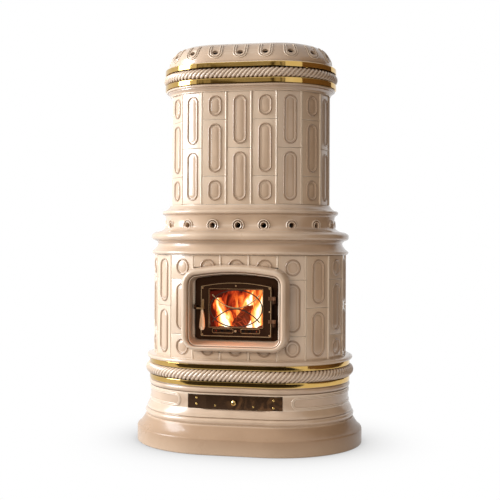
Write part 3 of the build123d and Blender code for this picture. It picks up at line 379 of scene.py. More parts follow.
def sweep(bm, section, steps=36):
    """Runs one closed section, of radii and heights, round the plan."""
    verts = [bm.verts.new((-HALF_FLAT, -r, z)) for r, z in section]
    edges = [bm.edges.new((verts[k - 1], verts[k])) for k in range(len(verts))]
    for side in (1, -1):
        verts, edges = extruded(bm, edges)
        bmesh.ops.translate(bm, verts=verts, vec=(2 * side * HALF_FLAT, 0, 0))
        spun = bmesh.ops.spin(
            bm, geom=verts + edges, cent=(side * HALF_FLAT, 0, 0), axis=(0, 0, 1),
            angle=pi, steps=steps, use_merge=False,
        )["geom_last"]
        verts, edges = verts_in(spun), edges_in(spun)
    bmesh.ops.remove_doubles(bm, verts=bm.verts[:], dist=2e-5)
    outward(bm)


def bow(radius, height, size, start, end, count=7, squash=1.0):
    """Part of a round or oval nose, from one angle to another; 0 points outward, 90 up."""
    turns = [radians(start + (end - start) * k / (count - 1)) for k in range(count)]
    return [(radius + size * cos(a) * squash, height + size * sin(a)) for a in turns]


def ring(name, section, material=cream_glaze, steps=36):
    """One moulded ring from its closed section."""
    bm = bmesh.new()
    sweep(bm, section, steps)
    return finished(name, bm, material)


# %% Foot of the stove
plinth_ring = ring("plinth_ring", [
    (0.326, 0.0), (0.413, 0.0), (0.416, 0.003), (0.416, 0.066), *bow(0.404, 0.066, 0.012, 8, 62, 6),
    (0.4, 0.0845), (0.386, 0.104), (0.377, 0.119), (0.374, 0.126), (0.326, 0.126),
], plinth_painted_shade_glaze)
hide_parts("plinth")
torus_ring = ring("base_torus_ring", [
    (0.31, 0.1262), (0.3705, 0.1262), (0.3708, 0.129), *bow(0.362, 0.143, 0.0148, -44, 66, 11),
    (0.3668, 0.1572), (0.3662, 0.159), (0.3685, 0.1612), (0.368, 0.166), (0.365, 0.174),
    (0.3605, 0.182),
    (0.356, 0.189), (0.353, 0.194), (0.3515, 0.196), (0.31, 0.196),
])
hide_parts("base_torus")
cap_ring = ring("base_cap_ring", [
    (0.316, 0.262), (0.353, 0.262), (0.354, 0.264), (0.3535, 0.267), (0.35, 0.269),
    (0.35, 0.2705), *bow(0.35, 0.282, 0.0118, -70, 76, 11, 0.72), (0.3515, 0.295), (0.3515, 0.299),
    (0.316, 0.299),
])
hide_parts("base_cap")
seat_ring = ring("tile_seat_ring", [
    (0.299, 0.398), (0.361, 0.398), *bow(0.362, 0.4078, 0.009, -80, 78, 9), (0.36, 0.418), (0.299, 0.418),
])
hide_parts("tile_seat")
print("foot rings", [len(o.data.polygons) for o in (plinth_ring, torus_ring, cap_ring, seat_ring)])

# %% Cornices between the bodies and under the cap
bed_ring = ring("lower_cornice_ring", [
    (0.278, 0.896), (0.346, 0.896), *bow(0.3435, 0.905, 0.0075, -75, 75, 8), (0.344, 0.914),
    (0.338, 0.919), (0.329, 0.929), (0.323, 0.938), (0.3205, 0.946), (0.323, 0.953),
    (0.33, 0.959), (0.336, 0.961), (0.278, 0.961),
])
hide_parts("lower_cornice")
top_ring = ring("top_moulding_ring", [
    (0.22, 1.655), (0.262, 1.655), (0.2625, 1.659), (0.265, 1.664), (0.2705, 1.6685), (0.2745, 1.6715),
    (0.275, 1.676), *bow(0.278, 1.682, 0.006, -60, 70, 7), (0.279, 1.688), (0.22, 1.688),
])
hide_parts("top_moulding")
print("upper rings done")


# %% [markdown]
# ## Brass bands
# The four bands are rolled strips, nearly flat, so that they mirror the room in long streaks.

# %% Four bands
BAND_DEPTH = 0.04
bm = bmesh.new()
for radius, foot, height in (
    (0.361, 0.299, 0.022), (0.361, 0.376, 0.022), (0.292, 1.688, 0.023), (0.292, 1.762, 0.023),
):
    belly = bow(radius - 0.0025, foot + height / 2, height / 2, -60, 60, 9, 0.015)
    back, face = radius - BAND_DEPTH, radius - 0.003
    part = bmesh.new()
    sweep(part, [(back, foot), (face, foot), *belly, (face, foot + height), (back, foot + height)], 48)
    add_part(bm, part)
bands = finished("brass_band_strips", bm, brass)
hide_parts("brass_bands")
print("bands", len(bands.data.polygons))


# %% [markdown]
# ## Rope mouldings
# A ceramic rope isn't twisted: its strands are pressed as slanted ridges into a round bead. So a
# grid of many columns is laid round the plan, and each of its points is moved out or in by the
# place between two strands. The strand's slant is a shift along the bead that grows with height.

# %% Press slanted strands into a bead
POINTS_PER_STRAND = 8
ROPE_TURN = 215


def rope(name, centre_radius, height, size, strand_gap, slant=0.85, depth=0.24):
    """A bead that shows ROPE_TURN degrees of its round, with strands at a gap along the plan."""
    length = plan_length(centre_radius)
    strands = round(length / strand_gap)
    bm = bmesh.new()
    bmesh.ops.create_grid(bm, x_segments=strands * POINTS_PER_STRAND, y_segments=20, size=0.5)
    for v in bm.verts:
        along = (v.co.x + 0.5) * length
        turn = radians(ROPE_TURN * v.co.y)
        up = size * sin(turn)
        strand = along * strands / length - slant * up / strand_gap
        pressed = 1 - depth * (1 - abs(sin(pi * strand))) ** 1.6
        x, y = plan_point(along, centre_radius, centre_radius + size * pressed * cos(turn))
        v.co = (x, y, height + up * pressed)
    bmesh.ops.remove_doubles(bm, verts=bm.verts[:], dist=3e-5)
    outward(bm)
    return finished(name, bm, cream_glaze, sharp=80)


lower_rope = rope("lower_rope", 0.349, 0.3485, 0.0268, 0.0206)
upper_rope = rope("upper_rope", 0.2715, 1.7365, 0.0248, 0.0212)
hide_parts("rope_rings")
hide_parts("rope_rings")
print("ropes", len(lower_rope.data.polygons), len(upper_rope.data.polygons))


# %% [markdown]
# ## Relief tiles
# Each tile is a flat face with softened edges, a raised bead down one side, and a round-ended
# medallion: a ridge, a groove inside it, and a gently raised field. The medallion starts as one
# face, and repeated insets with a little height each time press the ridge and the groove into it.


# %% One tile, pressed flat at the origin
def plain_tile(width, height, thickness=0.012):
    """A tile in the XZ plane, facing -Y, centred at the origin."""
    bm = bmesh.new()
    bmesh.ops.create_cube(bm, size=1.0)
    bmesh.ops.scale(bm, vec=(width, thickness, height), verts=bm.verts[:])
    bmesh.ops.translate(bm, vec=(0, thickness / 2, 0), verts=bm.verts[:])
    face_edges = [e for e in bm.edges if all(v.co.y < thickness / 4 for v in e.verts)]
    bmesh.ops.bevel(
        bm, geom=face_edges, offset=0.0022, offset_type="OFFSET", affect="EDGES", segments=3,
        profile=0.5, material=-1,
    )
    return bm


BEAD_INSET = 0.0055
BEAD_END = 0.0012
MEDALLION_SHARE = 0.29
MEDALLION_MARGIN = 0.015
# Each inset with its lift: the ridge, then the groove, then the raised field.
PRESSING = (
    (0.0006, -0.001), (0.0008, 0.0022), (0.0012, 0.0026), (0.0018, 0.0016), (0.0022, 0.0),
    (0.0016, -0.0014), (0.0012, -0.0032), (0.0008, -0.0036), (0.0014, -0.0008), (0.0012, 0.0016),
    (0.0022, 0.0018), (0.005, 0.0016), (0.008, 0.0008),
)


def side_bead(bm, x, height, width=0.008, rise=0.0048):
    """A half-round bead that runs down the tile."""
    made = bmesh.ops.create_circle(bm, segments=14, radius=0.5, cap_ends=True)["verts"]
    bmesh.ops.scale(bm, vec=(width, 2 * rise, 1), verts=made)
    bmesh.ops.translate(bm, vec=(x, 0.0005, -height / 2 + BEAD_END), verts=made)
    face = next(iter({f for v in made for f in v.link_faces}))
    grown = bmesh.ops.extrude_face_region(bm, geom=[face])["geom"]
    bmesh.ops.translate(bm, vec=(0, 0, height - 2 * BEAD_END), verts=verts_in(grown))


def press_medallion(bm, half, rise):
    """Ridge, groove and raised field of the round-ended medallion."""
    made = bmesh.ops.create_circle(bm, segments=36, radius=half, cap_ends=True)["verts"]
    bmesh.ops.rotate(bm, verts=made, cent=(0, 0, 0), matrix=Matrix.Rotation(pi / 2, 3, "X"))
    for v in made:
        v.co.z += rise if v.co.z > 0 else -rise
    face = next(iter({f for v in made for f in v.link_faces}))
    if face.normal.y > 0:
        face.normal_flip()
    for inset, lift in PRESSING:
        bmesh.ops.inset_individual(bm, faces=[face], thickness=inset, depth=lift, use_even_offset=True)


def relief_tile(width, height):
    bm = plain_tile(width, height)
    side_bead(bm, width / 2 - BEAD_INSET, height)
    half = width * MEDALLION_SHARE
    press_medallion(bm, half, max(height / 2 - MEDALLION_MARGIN - half, 0.002))
    outward(bm)
    return mesh_from("tile", bm)


sample = relief_tile(0.13, 0.239)
print("one tile has", len(sample.polygons), "faces")
bpy.data.meshes.remove(sample)


# %% Tile all four groups of columns
LOWER_COLUMNS = 20
UPPER_COLUMNS = 18
TILE_JOINT = 0.0012


def column_matrix(index, radius, columns, middle_height):
    """Place of a tile on its chord of the plan, facing out, and the chord's width."""
    pitch = plan_length(radius) / columns
    x0, y0 = plan_point((index - 0.5) * pitch, radius)
    x1, y1 = plan_point((index + 0.5) * pitch, radius)
    along = Vector((x1 - x0, y1 - y0, 0))
    width = along.length
    along.normalize()
    inward = Vector((-along.y, along.x, 0))
    turn = Matrix((along, inward, Vector((0, 0, 1)))).transposed().to_4x4()
    return Matrix.Translation(((x0 + x1) / 2, (y0 + y1) / 2, middle_height)) @ turn, width


def tile_group(name, radius, columns, foot, small, long, first, halved, hidden=None):
    """Every second column of tiles. Hidden: columns and heights that a fitting covers."""
    bm = bmesh.new()
    steps = (foot, foot + small, foot + small + long, foot + 2 * small + long)
    if halved:
        steps = (foot, foot + small + long / 2, foot + 2 * small + long)
    for index in range(first, columns, 2):
        for low, high in zip(steps, steps[1:]):
            place, width = column_matrix(index, radius, columns, (low + high) / 2)
            mesh = relief_tile(width - TILE_JOINT, high - low - TILE_JOINT)
            for keep_low in (True, False) if hidden and index in hidden[0] else (None,):
                part = bmesh.new()
                part.from_mesh(mesh)
                bmesh.ops.transform(part, matrix=place, verts=part.verts[:])
                if keep_low is not None:
                    bmesh.ops.bisect_plane(
                        part, geom=part.verts[:] + part.edges[:] + part.faces[:], dist=1e-6,
                        plane_co=(0, 0, hidden[1] if keep_low else hidden[2]),
                        plane_no=(0, 0, 1 if keep_low else -1), clear_outer=True,
                    )
                add_part(bm, part)
            bpy.data.meshes.remove(mesh)
    return finished(name, bm, cream_glaze, sharp=50)


# Radius, number of columns, foot, and the heights of a small and a long tile.
LOWER = (LOWER_RADIUS, LOWER_COLUMNS, 0.417, 0.111, 0.256)
UPPER = (UPPER_RADIUS, UPPER_COLUMNS, 1.13, 0.131, 0.263)
# Columns that the door surround covers, from one height to another.
BEHIND_SURROUND = ({0, 1, 19}, 0.462, 0.84)
lower_a = tile_group("lower_halved_columns", *LOWER, 1, True, BEHIND_SURROUND)
lower_b = tile_group("lower_framed_columns", *LOWER, 0, False, BEHIND_SURROUND)
upper_a = tile_group("upper_halved_columns", *UPPER, 0, True)
upper_b = tile_group("upper_framed_columns", *UPPER, 1, False)
print("tiled", lower_a.name, lower_b.name, upper_a.name, upper_b.name)


# %% Open the rear tiles for the flue
def faces_in(bm, low, high, margin=0.0):
    return [f for f in bm.faces if all(
        low[i] - margin < f.calc_center_median()[i] < high[i] + margin for i in range(3)
    )]


def open_window(piece, low, high):
    """Takes away what lies in a box, with straight cuts along its sides in X and Z."""
    bm = bmesh.new()
    bm.from_mesh(piece.data)
    for axis in (0, 2):
        for limit in (low[axis], high[axis]):
            near = faces_in(bm, low, high, 0.15)
            geom = near + list({e for f in near for e in f.edges}) + list({v for f in near for v in f.verts})
            plane_co = [limit if i == axis else 0.0 for i in range(3)]
            plane_no = [1.0 if i == axis else 0.0 for i in range(3)]
            bmesh.ops.bisect_plane(bm, geom=geom, dist=1e-6, plane_co=plane_co, plane_no=plane_no)
    gone = faces_in(bm, low, high)
    bmesh.ops.delete(bm, geom=gone, context="FACES")
    bm.to_mesh(piece.data)
    bm.free()
    return len(gone)


FLUE_HEIGHT = 1.5
FLUE_HALF = 0.0752
for piece in (upper_a, upper_b):
    gone = open_window(
        piece, (-FLUE_HALF, 0.1, FLUE_HEIGHT - FLUE_HALF), (FLUE_HALF, 0.4, FLUE_HEIGHT + FLUE_HALF)
    )
    print("faces cut for the flue", gone)
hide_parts("lower_middle_tiles")
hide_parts("lower_side_tiles")
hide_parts("upper_middle_tiles")
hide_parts("upper_side_tiles")
print("tiles", [len(o.data.polygons) for o in (lower_a, lower_b, upper_a, upper_b)])

# %% [markdown]
# ## Air holes
# Warm air leaves through a ring of small holes. Each hole under the upper body sits in a turned
# boss, and each hole in the cap sits in a raised loop, open at the top. The holes are cut through
# the mouldings with one cutter that holds a peg for every hole.


# %% Pegs, cuts and turned bosses
def facing(index, radius, height, reach, lift=0.0):
    """Place of a hole under a column: its Z axis points out of the stove, tilted up by lift."""
    place, _ = column_matrix(index, radius, UPPER_COLUMNS, height)
    away = -(place.to_3x3() @ Vector((0, 1, 0)))
    along = place.to_3x3() @ Vector((1, 0, 0))
    normal = (away * cos(lift) + Vector((0, 0, 1)) * sin(lift)).normalized()
    middle = Vector(place.translation) + away * (reach - radius)
    turn = Matrix((along, normal.cross(along), normal)).transposed().to_4x4()
    return Matrix.Translation(middle) @ turn


def cut(piece, cutter_bm):
    """Takes the cutter's solids out of a piece for good."""
    cutter = new_object("cutter", mesh_from("cutter", cutter_bm))
    saw = piece.modifiers.new("saw", "BOOLEAN")
    saw.object = cutter
    saw.solver = "EXACT"
    sawn = piece.evaluated_get(bpy.context.evaluated_depsgraph_get())
    shaped = bpy.data.meshes.new_from_object(sawn)
    piece.modifiers.clear()
    piece.data = shaped
    bpy.data.objects.remove(cutter)


def pegs(places, radius, depth, oval=1.0):
    """One cutter with a peg for every hole; oval stretches the pegs sideways."""
    bm = bmesh.new()
    for place in places:
        bmesh.ops.create_cone(
            bm, cap_ends=True, segments=24, radius1=radius, radius2=radius, depth=depth,
            matrix=place @ Matrix.Diagonal((oval, 1, 1, 1)),
        )
    return bm


def turned_ring(bm, place, profile, steps=32):
    """Spins a small profile of radius and height round the Z axis of a place."""
    verts = [bm.verts.new((r, 0, h)) for r, h in profile]
    edges = [bm.edges.new(pair) for pair in zip(verts, verts[1:])]
    bmesh.ops.spin(
        bm, geom=verts + edges, cent=(0, 0, 0), axis=(0, 0, 1), angle=2 * pi, steps=steps,
        use_merge=True,
    )
    linked = set()
    stack = list(verts)
    while stack:
        v = stack.pop()
        if v not in linked:
            linked.add(v)
            stack += [e.other_vert(v) for e in v.link_edges]
    bmesh.ops.transform(bm, matrix=place, verts=list(linked))


# %% The vent cornice
def cove(r0, z0, r1, z1, count=8):
    """A hollow quarter round, in from one point and then up to the other."""
    turns = [pi / 2 * k / (count - 1) for k in range(count)]
    return [(r1 + (r0 - r1) * (1 - sin(t)), z0 + (z1 - z0) * (1 - cos(t))) for t in turns]


VENT_LEVEL = 1.032
vent_ring = ring("vent_cornice_ring", [
    (0.236, 0.9615), (0.336, 0.9615), *bow(0.3395, 0.98, 0.0165, -80, 78, 12, 0.8),
    (0.3405, 0.9975), (0.335, 1.0), *cove(0.333, 1.002, 0.284, 1.033, 9),
    (0.2825, 1.045), (0.283, 1.06), *reversed(cove(0.298, 1.085, 0.284, 1.064, 6)),
    *bow(0.292, 1.094, 0.0095, -60, 76, 9), (0.286, 1.105), (0.279, 1.108),
    (0.27, 1.116), (0.264, 1.124), (0.262, 1.129), (0.22, 1.129), (0.22, 1.02),
    (0.236, 1.0),
])
vent_places = [facing(k, UPPER_RADIUS, VENT_LEVEL, 0.286) for k in range(UPPER_COLUMNS)]
cut(vent_ring, pegs(vent_places, 0.0115, 0.16))
bm = bmesh.new()
for place in vent_places:
    turned_ring(bm, place, [
        (0.029, -0.012), (0.029, 0.002), (0.028, 0.006), (0.0258, 0.0082), (0.0236, 0.0072),
        (0.0218, 0.0024), (0.0205, 0.0006), (0.0192, 0.0024), (0.0178, 0.0075), (0.016, 0.0094),
        (0.0138, 0.0082), (0.012, 0.004), (0.0114, -0.001), (0.0112, -0.015),
    ])
outward(bm)
vent_bosses = finished("vent_bosses", bm, cream_glaze)
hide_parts("vent_cornice")
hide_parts("vent_cornice")
print("vent cornice", len(vent_ring.data.polygons), "bosses", len(vent_bosses.data.polygons))

# %% The cap
DOME_FOOT = 1.785
DOME_RADIUS = 0.27
DOME_INSET = 0.092
DOME_RISE = 0.104


def dome_point(turn, thinner=0.0):
    """Radius and height of the cap's curve, from its foot (0) to its shoulder (90 degrees)."""
    return (
        DOME_RADIUS - thinner - DOME_INSET * (1 - cos(turn)),
        DOME_FOOT + (DOME_RISE - thinner) * sin(turn),
    )


outside = [dome_point(radians(a)) for a in range(4, 91, 6)]
inside = [dome_point(radians(a), 0.012) for a in range(90, -1, -10)]
dome_ring = ring("dome_ring", [
    (0.258, DOME_FOOT), (0.2745, DOME_FOOT), (0.2758, DOME_FOOT + 0.0025), (0.2745, DOME_FOOT + 0.0055),
    *outside, (0.13, 1.8985), (0.075, 1.9045), (0.0, 1.9058), (0.0, 1.893), (0.12, 1.886), *inside,
], steps=48)
bm = bmesh.new()
bm.from_mesh(dome_ring.data)
bmesh.ops.dissolve_degenerate(bm, edges=bm.edges[:], dist=1e-5)
bm.to_mesh(dome_ring.data)
bm.free()
HOLE_TURN = radians(30)
hole_radius, hole_height = dome_point(HOLE_TURN)
hole_lift = radians(33)
dome_places = [facing(k, UPPER_RADIUS, hole_height, hole_radius, hole_lift) for k in range(UPPER_COLUMNS)]
cut(dome_ring, pegs(dome_places, 0.0118, 0.05, 1.22))
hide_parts("dome_cap")


# %% Raised loops round the cap's holes
def rods(name, routes, thickness, material, body="stove", capped=False):
    """One curve object of round rods; each route is a list of points and whether it closes."""
    curve = bpy.data.curves.new(name, "CURVE")
    curve.dimensions = "3D"
    curve.bevel_depth = thickness
    curve.bevel_resolution = 3
    curve.use_fill_caps = capped
    for points, closed in routes:
        spline = curve.splines.new("POLY")
        spline.points.add(len(points) - 1)
        spline.use_cyclic_u = closed
        for point, spot in zip(spline.points, points):
            point.co = (*spot, 1)
    curve.materials.append(material)
    made = new_object(name, curve)
    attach(made, body)
    return made


LOOP_LEGS = 0.052
LOOP_STAND = 0.0004
SKIN_PER_RADIAN = 0.105


def loop_route(middle, half):
    """Down one leg, round under the hole and up the other leg, on the cap's skin."""
    legs = [LOOP_LEGS - LOOP_LEGS * step / 6 for step in range(6)]
    turns = [pi * k / 12 for k in range(13)]
    flat = [(-half, up) for up in legs]
    flat += [(-half * cos(a), -half * sin(a) * 0.95) for a in turns]
    flat += [(half, up) for up in reversed(legs)]
    route = []
    for across, up in flat:
        r, z = dome_point(HOLE_TURN + up / SKIN_PER_RADIAN)
        x, y = plan_point(middle + across, UPPER_RADIUS, r + LOOP_STAND)
        route.append((x, y, z + LOOP_STAND))
    return route


dome_pitch = plan_length(UPPER_RADIUS) / UPPER_COLUMNS
loop_lines = rods("dome_loops", [
    (loop_route(k * dome_pitch, half), False) for k in range(UPPER_COLUMNS) for half in (0.0315, 0.0215)
], 0.003, cream_glaze)
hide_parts("dome_cap")
print("cap", len(dome_ring.data.polygons), "loops", len(loop_lines.data.splines))

# %% [markdown]
# ## Frieze
# The band between foot and rope is smooth, so that the drawer plate can lie on it. Two raised
# lines with round ends frame each side.

# %% The frieze and its two panels
frieze_ring = ring("frieze_ring", [
    (0.31, 0.196), (0.352, 0.196), (0.352, 0.2), (0.352, 0.23), (0.352, 0.258),
    (0.352, 0.262), (0.31, 0.262),
])
FRIEZE_MIDDLE = 0.229
bm = bmesh.new()
slot = Matrix.Translation((0, -0.34, FRIEZE_MIDDLE)) @ Matrix.Diagonal((0.396, 0.2, 0.062, 1))
bmesh.ops.create_cube(bm, size=1.0, matrix=slot)
cut(frieze_ring, bm)
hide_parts("base_frieze")

FRIEZE_RADIUS = 0.352
PANEL_START = 0.262
PANEL_HALF = 0.027


def panel_route(side, half):
    """A line with round ends, along one side of the frieze, from front to back."""
    start = PANEL_START + PANEL_HALF
    end = plan_length(FRIEZE_RADIUS) / 2 - start
    steps = [k / 60 for k in range(61)]
    turns = [pi * k / 12 for k in range(1, 12)]
    flat = [(start + (end - start) * t, half) for t in steps]
    flat += [(end + half * sin(a), half * cos(a)) for a in turns]
    flat += [(end + (start - end) * t, -half) for t in steps]
    flat += [(start - half * sin(a), -half * cos(a)) for a in turns]
    return [(*plan_point(side * along, FRIEZE_RADIUS), FRIEZE_MIDDLE + up) for along, up in flat]


panels = rods("frieze_panels", [
    (panel_route(side, PANEL_HALF - inset), True) for side in (1, -1) for inset in (0.0, 0.006)
], 0.0034, cream_glaze)
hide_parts("base_frieze")
print("frieze", len(frieze_ring.data.polygons), "panel lines", len(panels.data.splines))


# %% Screws on the drawer plate
def screw_heads(name, spots, face, radius, flat, material, body):
    """Flattened round heads at places in X and Z, on a face that looks to the front."""
    bm = bmesh.new()
    for x, z in spots:
        bmesh.ops.create_uvsphere(
            bm, u_segments=14, v_segments=8, radius=radius,
            matrix=Matrix.Translation((x, face, z)) @ Matrix.Diagonal((1, flat, 1, 1)),
        )
    return finished(name, bm, material, body=body)


PLATE_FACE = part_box("drawer_front")[0][1]
drawer_screws = screw_heads("drawer_screws", (
    (-0.175, 0.246), (-0.175, 0.218), (-0.088, 0.213), (0.088, 0.213), (0.18, 0.244), (0.18, 0.211),
), PLATE_FACE + 0.0012, 0.0046, 0.45, brass, "ash_drawer")
print("plate face", round(PLATE_FACE, 4), "screws", len(drawer_screws.data.polygons))

# %% [markdown]
# ## Door surround
# The ceramic mouth of the fire door is one thick rounded ridge. Inside, it slopes back to the
# iron, and its sill falls forward. The form is a loft of one outline at many depths.

# %% Loft the surround
OPENING = {"half": 0.198, "foot": 0.507, "spring": 0.789, "crown": 0.804, "corner": 0.026}


def mouth_outline(wide, sill=0.0):
    """Outline of the mouth in X and Z, grown by a width, anticlockwise from the sill's middle."""
    half = OPENING["half"] + wide
    foot = OPENING["foot"] - wide - sill
    spring = OPENING["spring"] + wide
    crown = OPENING["crown"] + wide
    corner = OPENING["corner"] + wide
    bend = [radians(90 * k / 8) for k in range(9)]
    right = [(half - corner) * k / 6 for k in range(1, 6)]
    points = [(x, foot) for x in [0.0, *right]]
    points += [(half - corner + corner * sin(a), foot + corner - corner * cos(a)) for a in bend]
    low, high = foot + corner, spring - corner
    points += [(half, low + (high - low) * k / 6) for k in range(1, 6)]
    shoulder = half - corner
    rise = crown - spring
    points += [(shoulder + corner * cos(a), high + corner * sin(a)) for a in bend]
    arch = [shoulder * k / 6 for k in range(5, 0, -1)]
    points += [(x, spring + rise * (1 - (x / shoulder) ** 2)) for x in arch]
    points.append((0.0, crown))
    return points + [(-x, z) for x, z in reversed(points[1:-1])]


# Rows of the section: how far each stands out of the tiles, how much wider than the mouth it
# is, and how much lower its sill lies.
SURROUND_ROWS = (
    (-0.012, 0.05, 0.0), (0.004, 0.049, 0.0), (0.024, 0.0478, 0.0), (0.038, 0.046, 0.0),
    (0.048, 0.043, 0.0), (0.0545, 0.039, 0.0), (0.0585, 0.034, 0.001), (0.0596, 0.0285, 0.002),
    (0.059, 0.0235, 0.004), (0.056, 0.019, 0.0065), (0.05, 0.0168, 0.0085),
    (0.043, 0.015, 0.0098), (0.039, 0.014, 0.0106), (0.04, 0.0126, 0.0112),
    (0.0425, 0.011, 0.0116), (0.042, 0.0092, 0.0112), (0.0385, 0.008, 0.0104),
    (0.03, 0.0062, 0.0085), (0.01, 0.0042, 0.0055), (-0.01, 0.002, 0.0026),
    (-0.026, 0.0, 0.0), (-0.038, -0.0002, 0.0),
)
bm = bmesh.new()
reach, wide, sill = SURROUND_ROWS[0]
verts = [bm.verts.new((x, -LOWER_RADIUS - reach, z)) for x, z in mouth_outline(wide, sill)]
edges = [bm.edges.new((verts[k - 1], verts[k])) for k in range(len(verts))]
for reach, wide, sill in SURROUND_ROWS[1:]:
    moved, edges = extruded(bm, edges)
    copy_at = {tuple(v.co): v for v in moved}
    verts = [copy_at[tuple(v.co)] for v in verts]
    for v, (x, z) in zip(verts, mouth_outline(wide, sill)):
        v.co = (x, -LOWER_RADIUS - reach, z)
outward(bm)
surround = finished("surround_ridge", bm, cream_glaze, sharp=60)
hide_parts("door_surround")
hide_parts("surround_arch")
print("surround", len(surround.data.polygons))

# %% [markdown]
# ## Bars, lines and screws of the fire door
# The bars before the glass are round rods: an oval and two arcs that touch in the middle. Thin
# gilt lines frame the glass and the two air slots. A line drawn as a curve with a small bevel is
# the shortest way to a rod of even thickness.

# %% Rods and gilt lines
# The glass from its foot to its head, the face of the leaf, and the bars' own plane.
WINDOW = {"foot": 0.567, "head": 0.738, "face": -0.33, "bars": -0.3272}
window_middle = (WINDOW["foot"] + WINDOW["head"]) / 2


def oval(half, rise, count=64):
    turns = [2 * pi * k / count for k in range(count)]
    return [(half * cos(a), WINDOW["bars"], window_middle + rise * sin(a)) for a in turns]


def crossing_arc(side, half=0.11, rise=0.06, count=24):
    """An arc from one side of the glass to the other that dips to the middle."""
    spots = [half * (2 * k / count - 1) for k in range(count + 1)]
    return [(x, WINDOW["bars"], window_middle + side * (0.002 + rise * (x / half) ** 2)) for x in spots]


def rounded_frame(left, right, foot, head, corner, face):
    points = []
    for x, z, start in (
        (right - corner, foot + corner, -90), (right - corner, head - corner, 0),
        (left + corner, head - corner, 90), (left + corner, foot + corner, 180),
    ):
        turns = [radians(start + 15 * k) for k in range(7)]
        points += [(x + corner * cos(a), face, z + corner * sin(a)) for a in turns]
    return points


# Painted highlight: the oval and the lower arc are dark iron, and the upper arc is gilt to show the glint on
# the same bars.
dark_rods = rods("tracery_rods", [
    (oval(0.1215, 0.084), True), (crossing_arc(-1), False),
], 0.0029, rod_iron, "fire_door", capped=True)
gilt_highlight_arc = rods("tracery_arc", [(crossing_arc(1), False)], 0.0026, gilt, "fire_door", capped=True)
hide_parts("tracery")
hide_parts("tracery")
leaf_face = WINDOW["face"] - 0.0004
frame_lines = rods("window_lines", [
    (rounded_frame(-0.1255, 0.1255, 0.5655, 0.7415, 0.003, leaf_face), True),
    (rounded_frame(-0.109, -0.012, 0.5405, 0.5595, 0.006, leaf_face), True),
    (rounded_frame(0.024, 0.111, 0.5405, 0.5595, 0.006, leaf_face), True),
], 0.0009, gilt, "fire_door", capped=True)
leaf_screws = screw_heads("leaf_screws", (
    (-0.1555, 0.5325), (0.1555, 0.5325), (-0.1555, 0.7445), (0.1555, 0.7445), (0.0, 0.756), (0.1555, 0.64),
), WINDOW["face"] - 0.0002, 0.0038, 0.5, gilt, "fire_door")
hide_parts("door_screws")
print("door lines", len(frame_lines.data.splines))

# %% [markdown]
# ## Fire
# Each flame is a glowing tongue: a thin curved sheet, pointed at the top, with its own UV map.
# The middle of the sheet is white-hot, and a rising noise tears its edge. A dull red sheet behind
# them lines the chamber, and split logs with glowing cracks lie on the hearth.


# %% Flame and ember materials
def fire_material(name, strength, whole):
    """Glow by the place on the sheet: UV runs 0 to 1 across and up. Whole: no torn edge."""
    material = bpy.data.materials.new(name)
    material.use_nodes = True
    tree = material.node_tree
    tree.nodes.clear()
    place = node(tree, "TexCoord").outputs
    stretch = node(tree, "Mapping", {"Vector": place["Object"], "Scale": (22.0, 22.0, 9.0)})
    licks = noise(tree, 1.0, stretch.outputs["Vector"], Detail=4.0, Distortion=1.2)
    sheet = node(tree, "SeparateXYZ", {"Vector": place["UV"]}).outputs
    aside = maths(tree, "ABSOLUTE", ranged(tree, sheet["X"], 0.0, 1.0, -1.0, 1.0))
    core = maths(tree, "MULTIPLY_ADD", aside, -0.55, 0.62)
    low = maths(tree, "MULTIPLY_ADD", sheet["Y"], -0.28, core)
    raw = maths(tree, "MULTIPLY_ADD", licks, 0.95, low)
    heat = maths(tree, "SUBTRACT", raw, 0.3 if whole else 0.2)
    ramp = node(tree, "ValToRGB", {"Fac": heat})
    dull, white_hot = ramp.color_ramp.elements
    dull.position, dull.color = 0.18, (0.07, 0.008, 0.004, 1)
    white_hot.position, white_hot.color = 0.72, (1.0, 0.92, 0.72, 1)
    for position, colour in (
        (0.3, (0.42, 0.035, 0.01, 1)), (0.42, (0.95, 0.16, 0.025, 1)), (0.55, (1.0, 0.44, 0.1, 1)),
    ):
        ramp.color_ramp.elements.new(position).color = colour
    surface = node(tree, "Emission", {"Color": ramp.outputs["Color"], "Strength": strength})
    if not whole:
        clear = node(tree, "BsdfTransparent")
        surface = node(tree, "MixShader", {
            0: ranged(tree, heat, 0.22, 0.42), 1: clear.outputs[0], 2: surface.outputs[0],
        })
    node(tree, "OutputMaterial", {"Surface": surface.outputs[0]})
    return material


flame_back = fire_material("flame_back", 1.15, True)
flame_tongue = fire_material("flame_tongue", 1.9, False)

ember, tree, ember_shader = principled("glowing_log")
crack = node(
    tree, "TexVoronoi", {"Vector": own_place(tree), "Scale": 34.0}, feature="DISTANCE_TO_EDGE"
).outputs["Distance"]
warm = ranged(tree, noise(tree, 9.0), 0.42, 0.62)
bark = node(tree, "Bump", {"Strength": 0.8, "Distance": 0.006, "Height": crack})
feed(tree, ember_shader, {
    "Base Color": (0.09, 0.025, 0.018, 1), "Roughness": 0.95, "Normal": bark.outputs["Normal"],
    "Emission Color": (1.0, 0.13, 0.04, 1),
    "Emission Strength": maths(tree, "MULTIPLY_ADD", ranged(tree, crack, 0.07, 0.0), warm, 0.12),
})
print("fire materials", flame_back.name, flame_tongue.name, ember.name)


# %% Logs on the hearth
def roughen(verts, seed, amount):
    chance = random.Random(seed)
    for v in verts:
        v.co += Vector((chance.uniform(-1, 1), chance.uniform(-1, 1), chance.uniform(-1, 1))) * amount


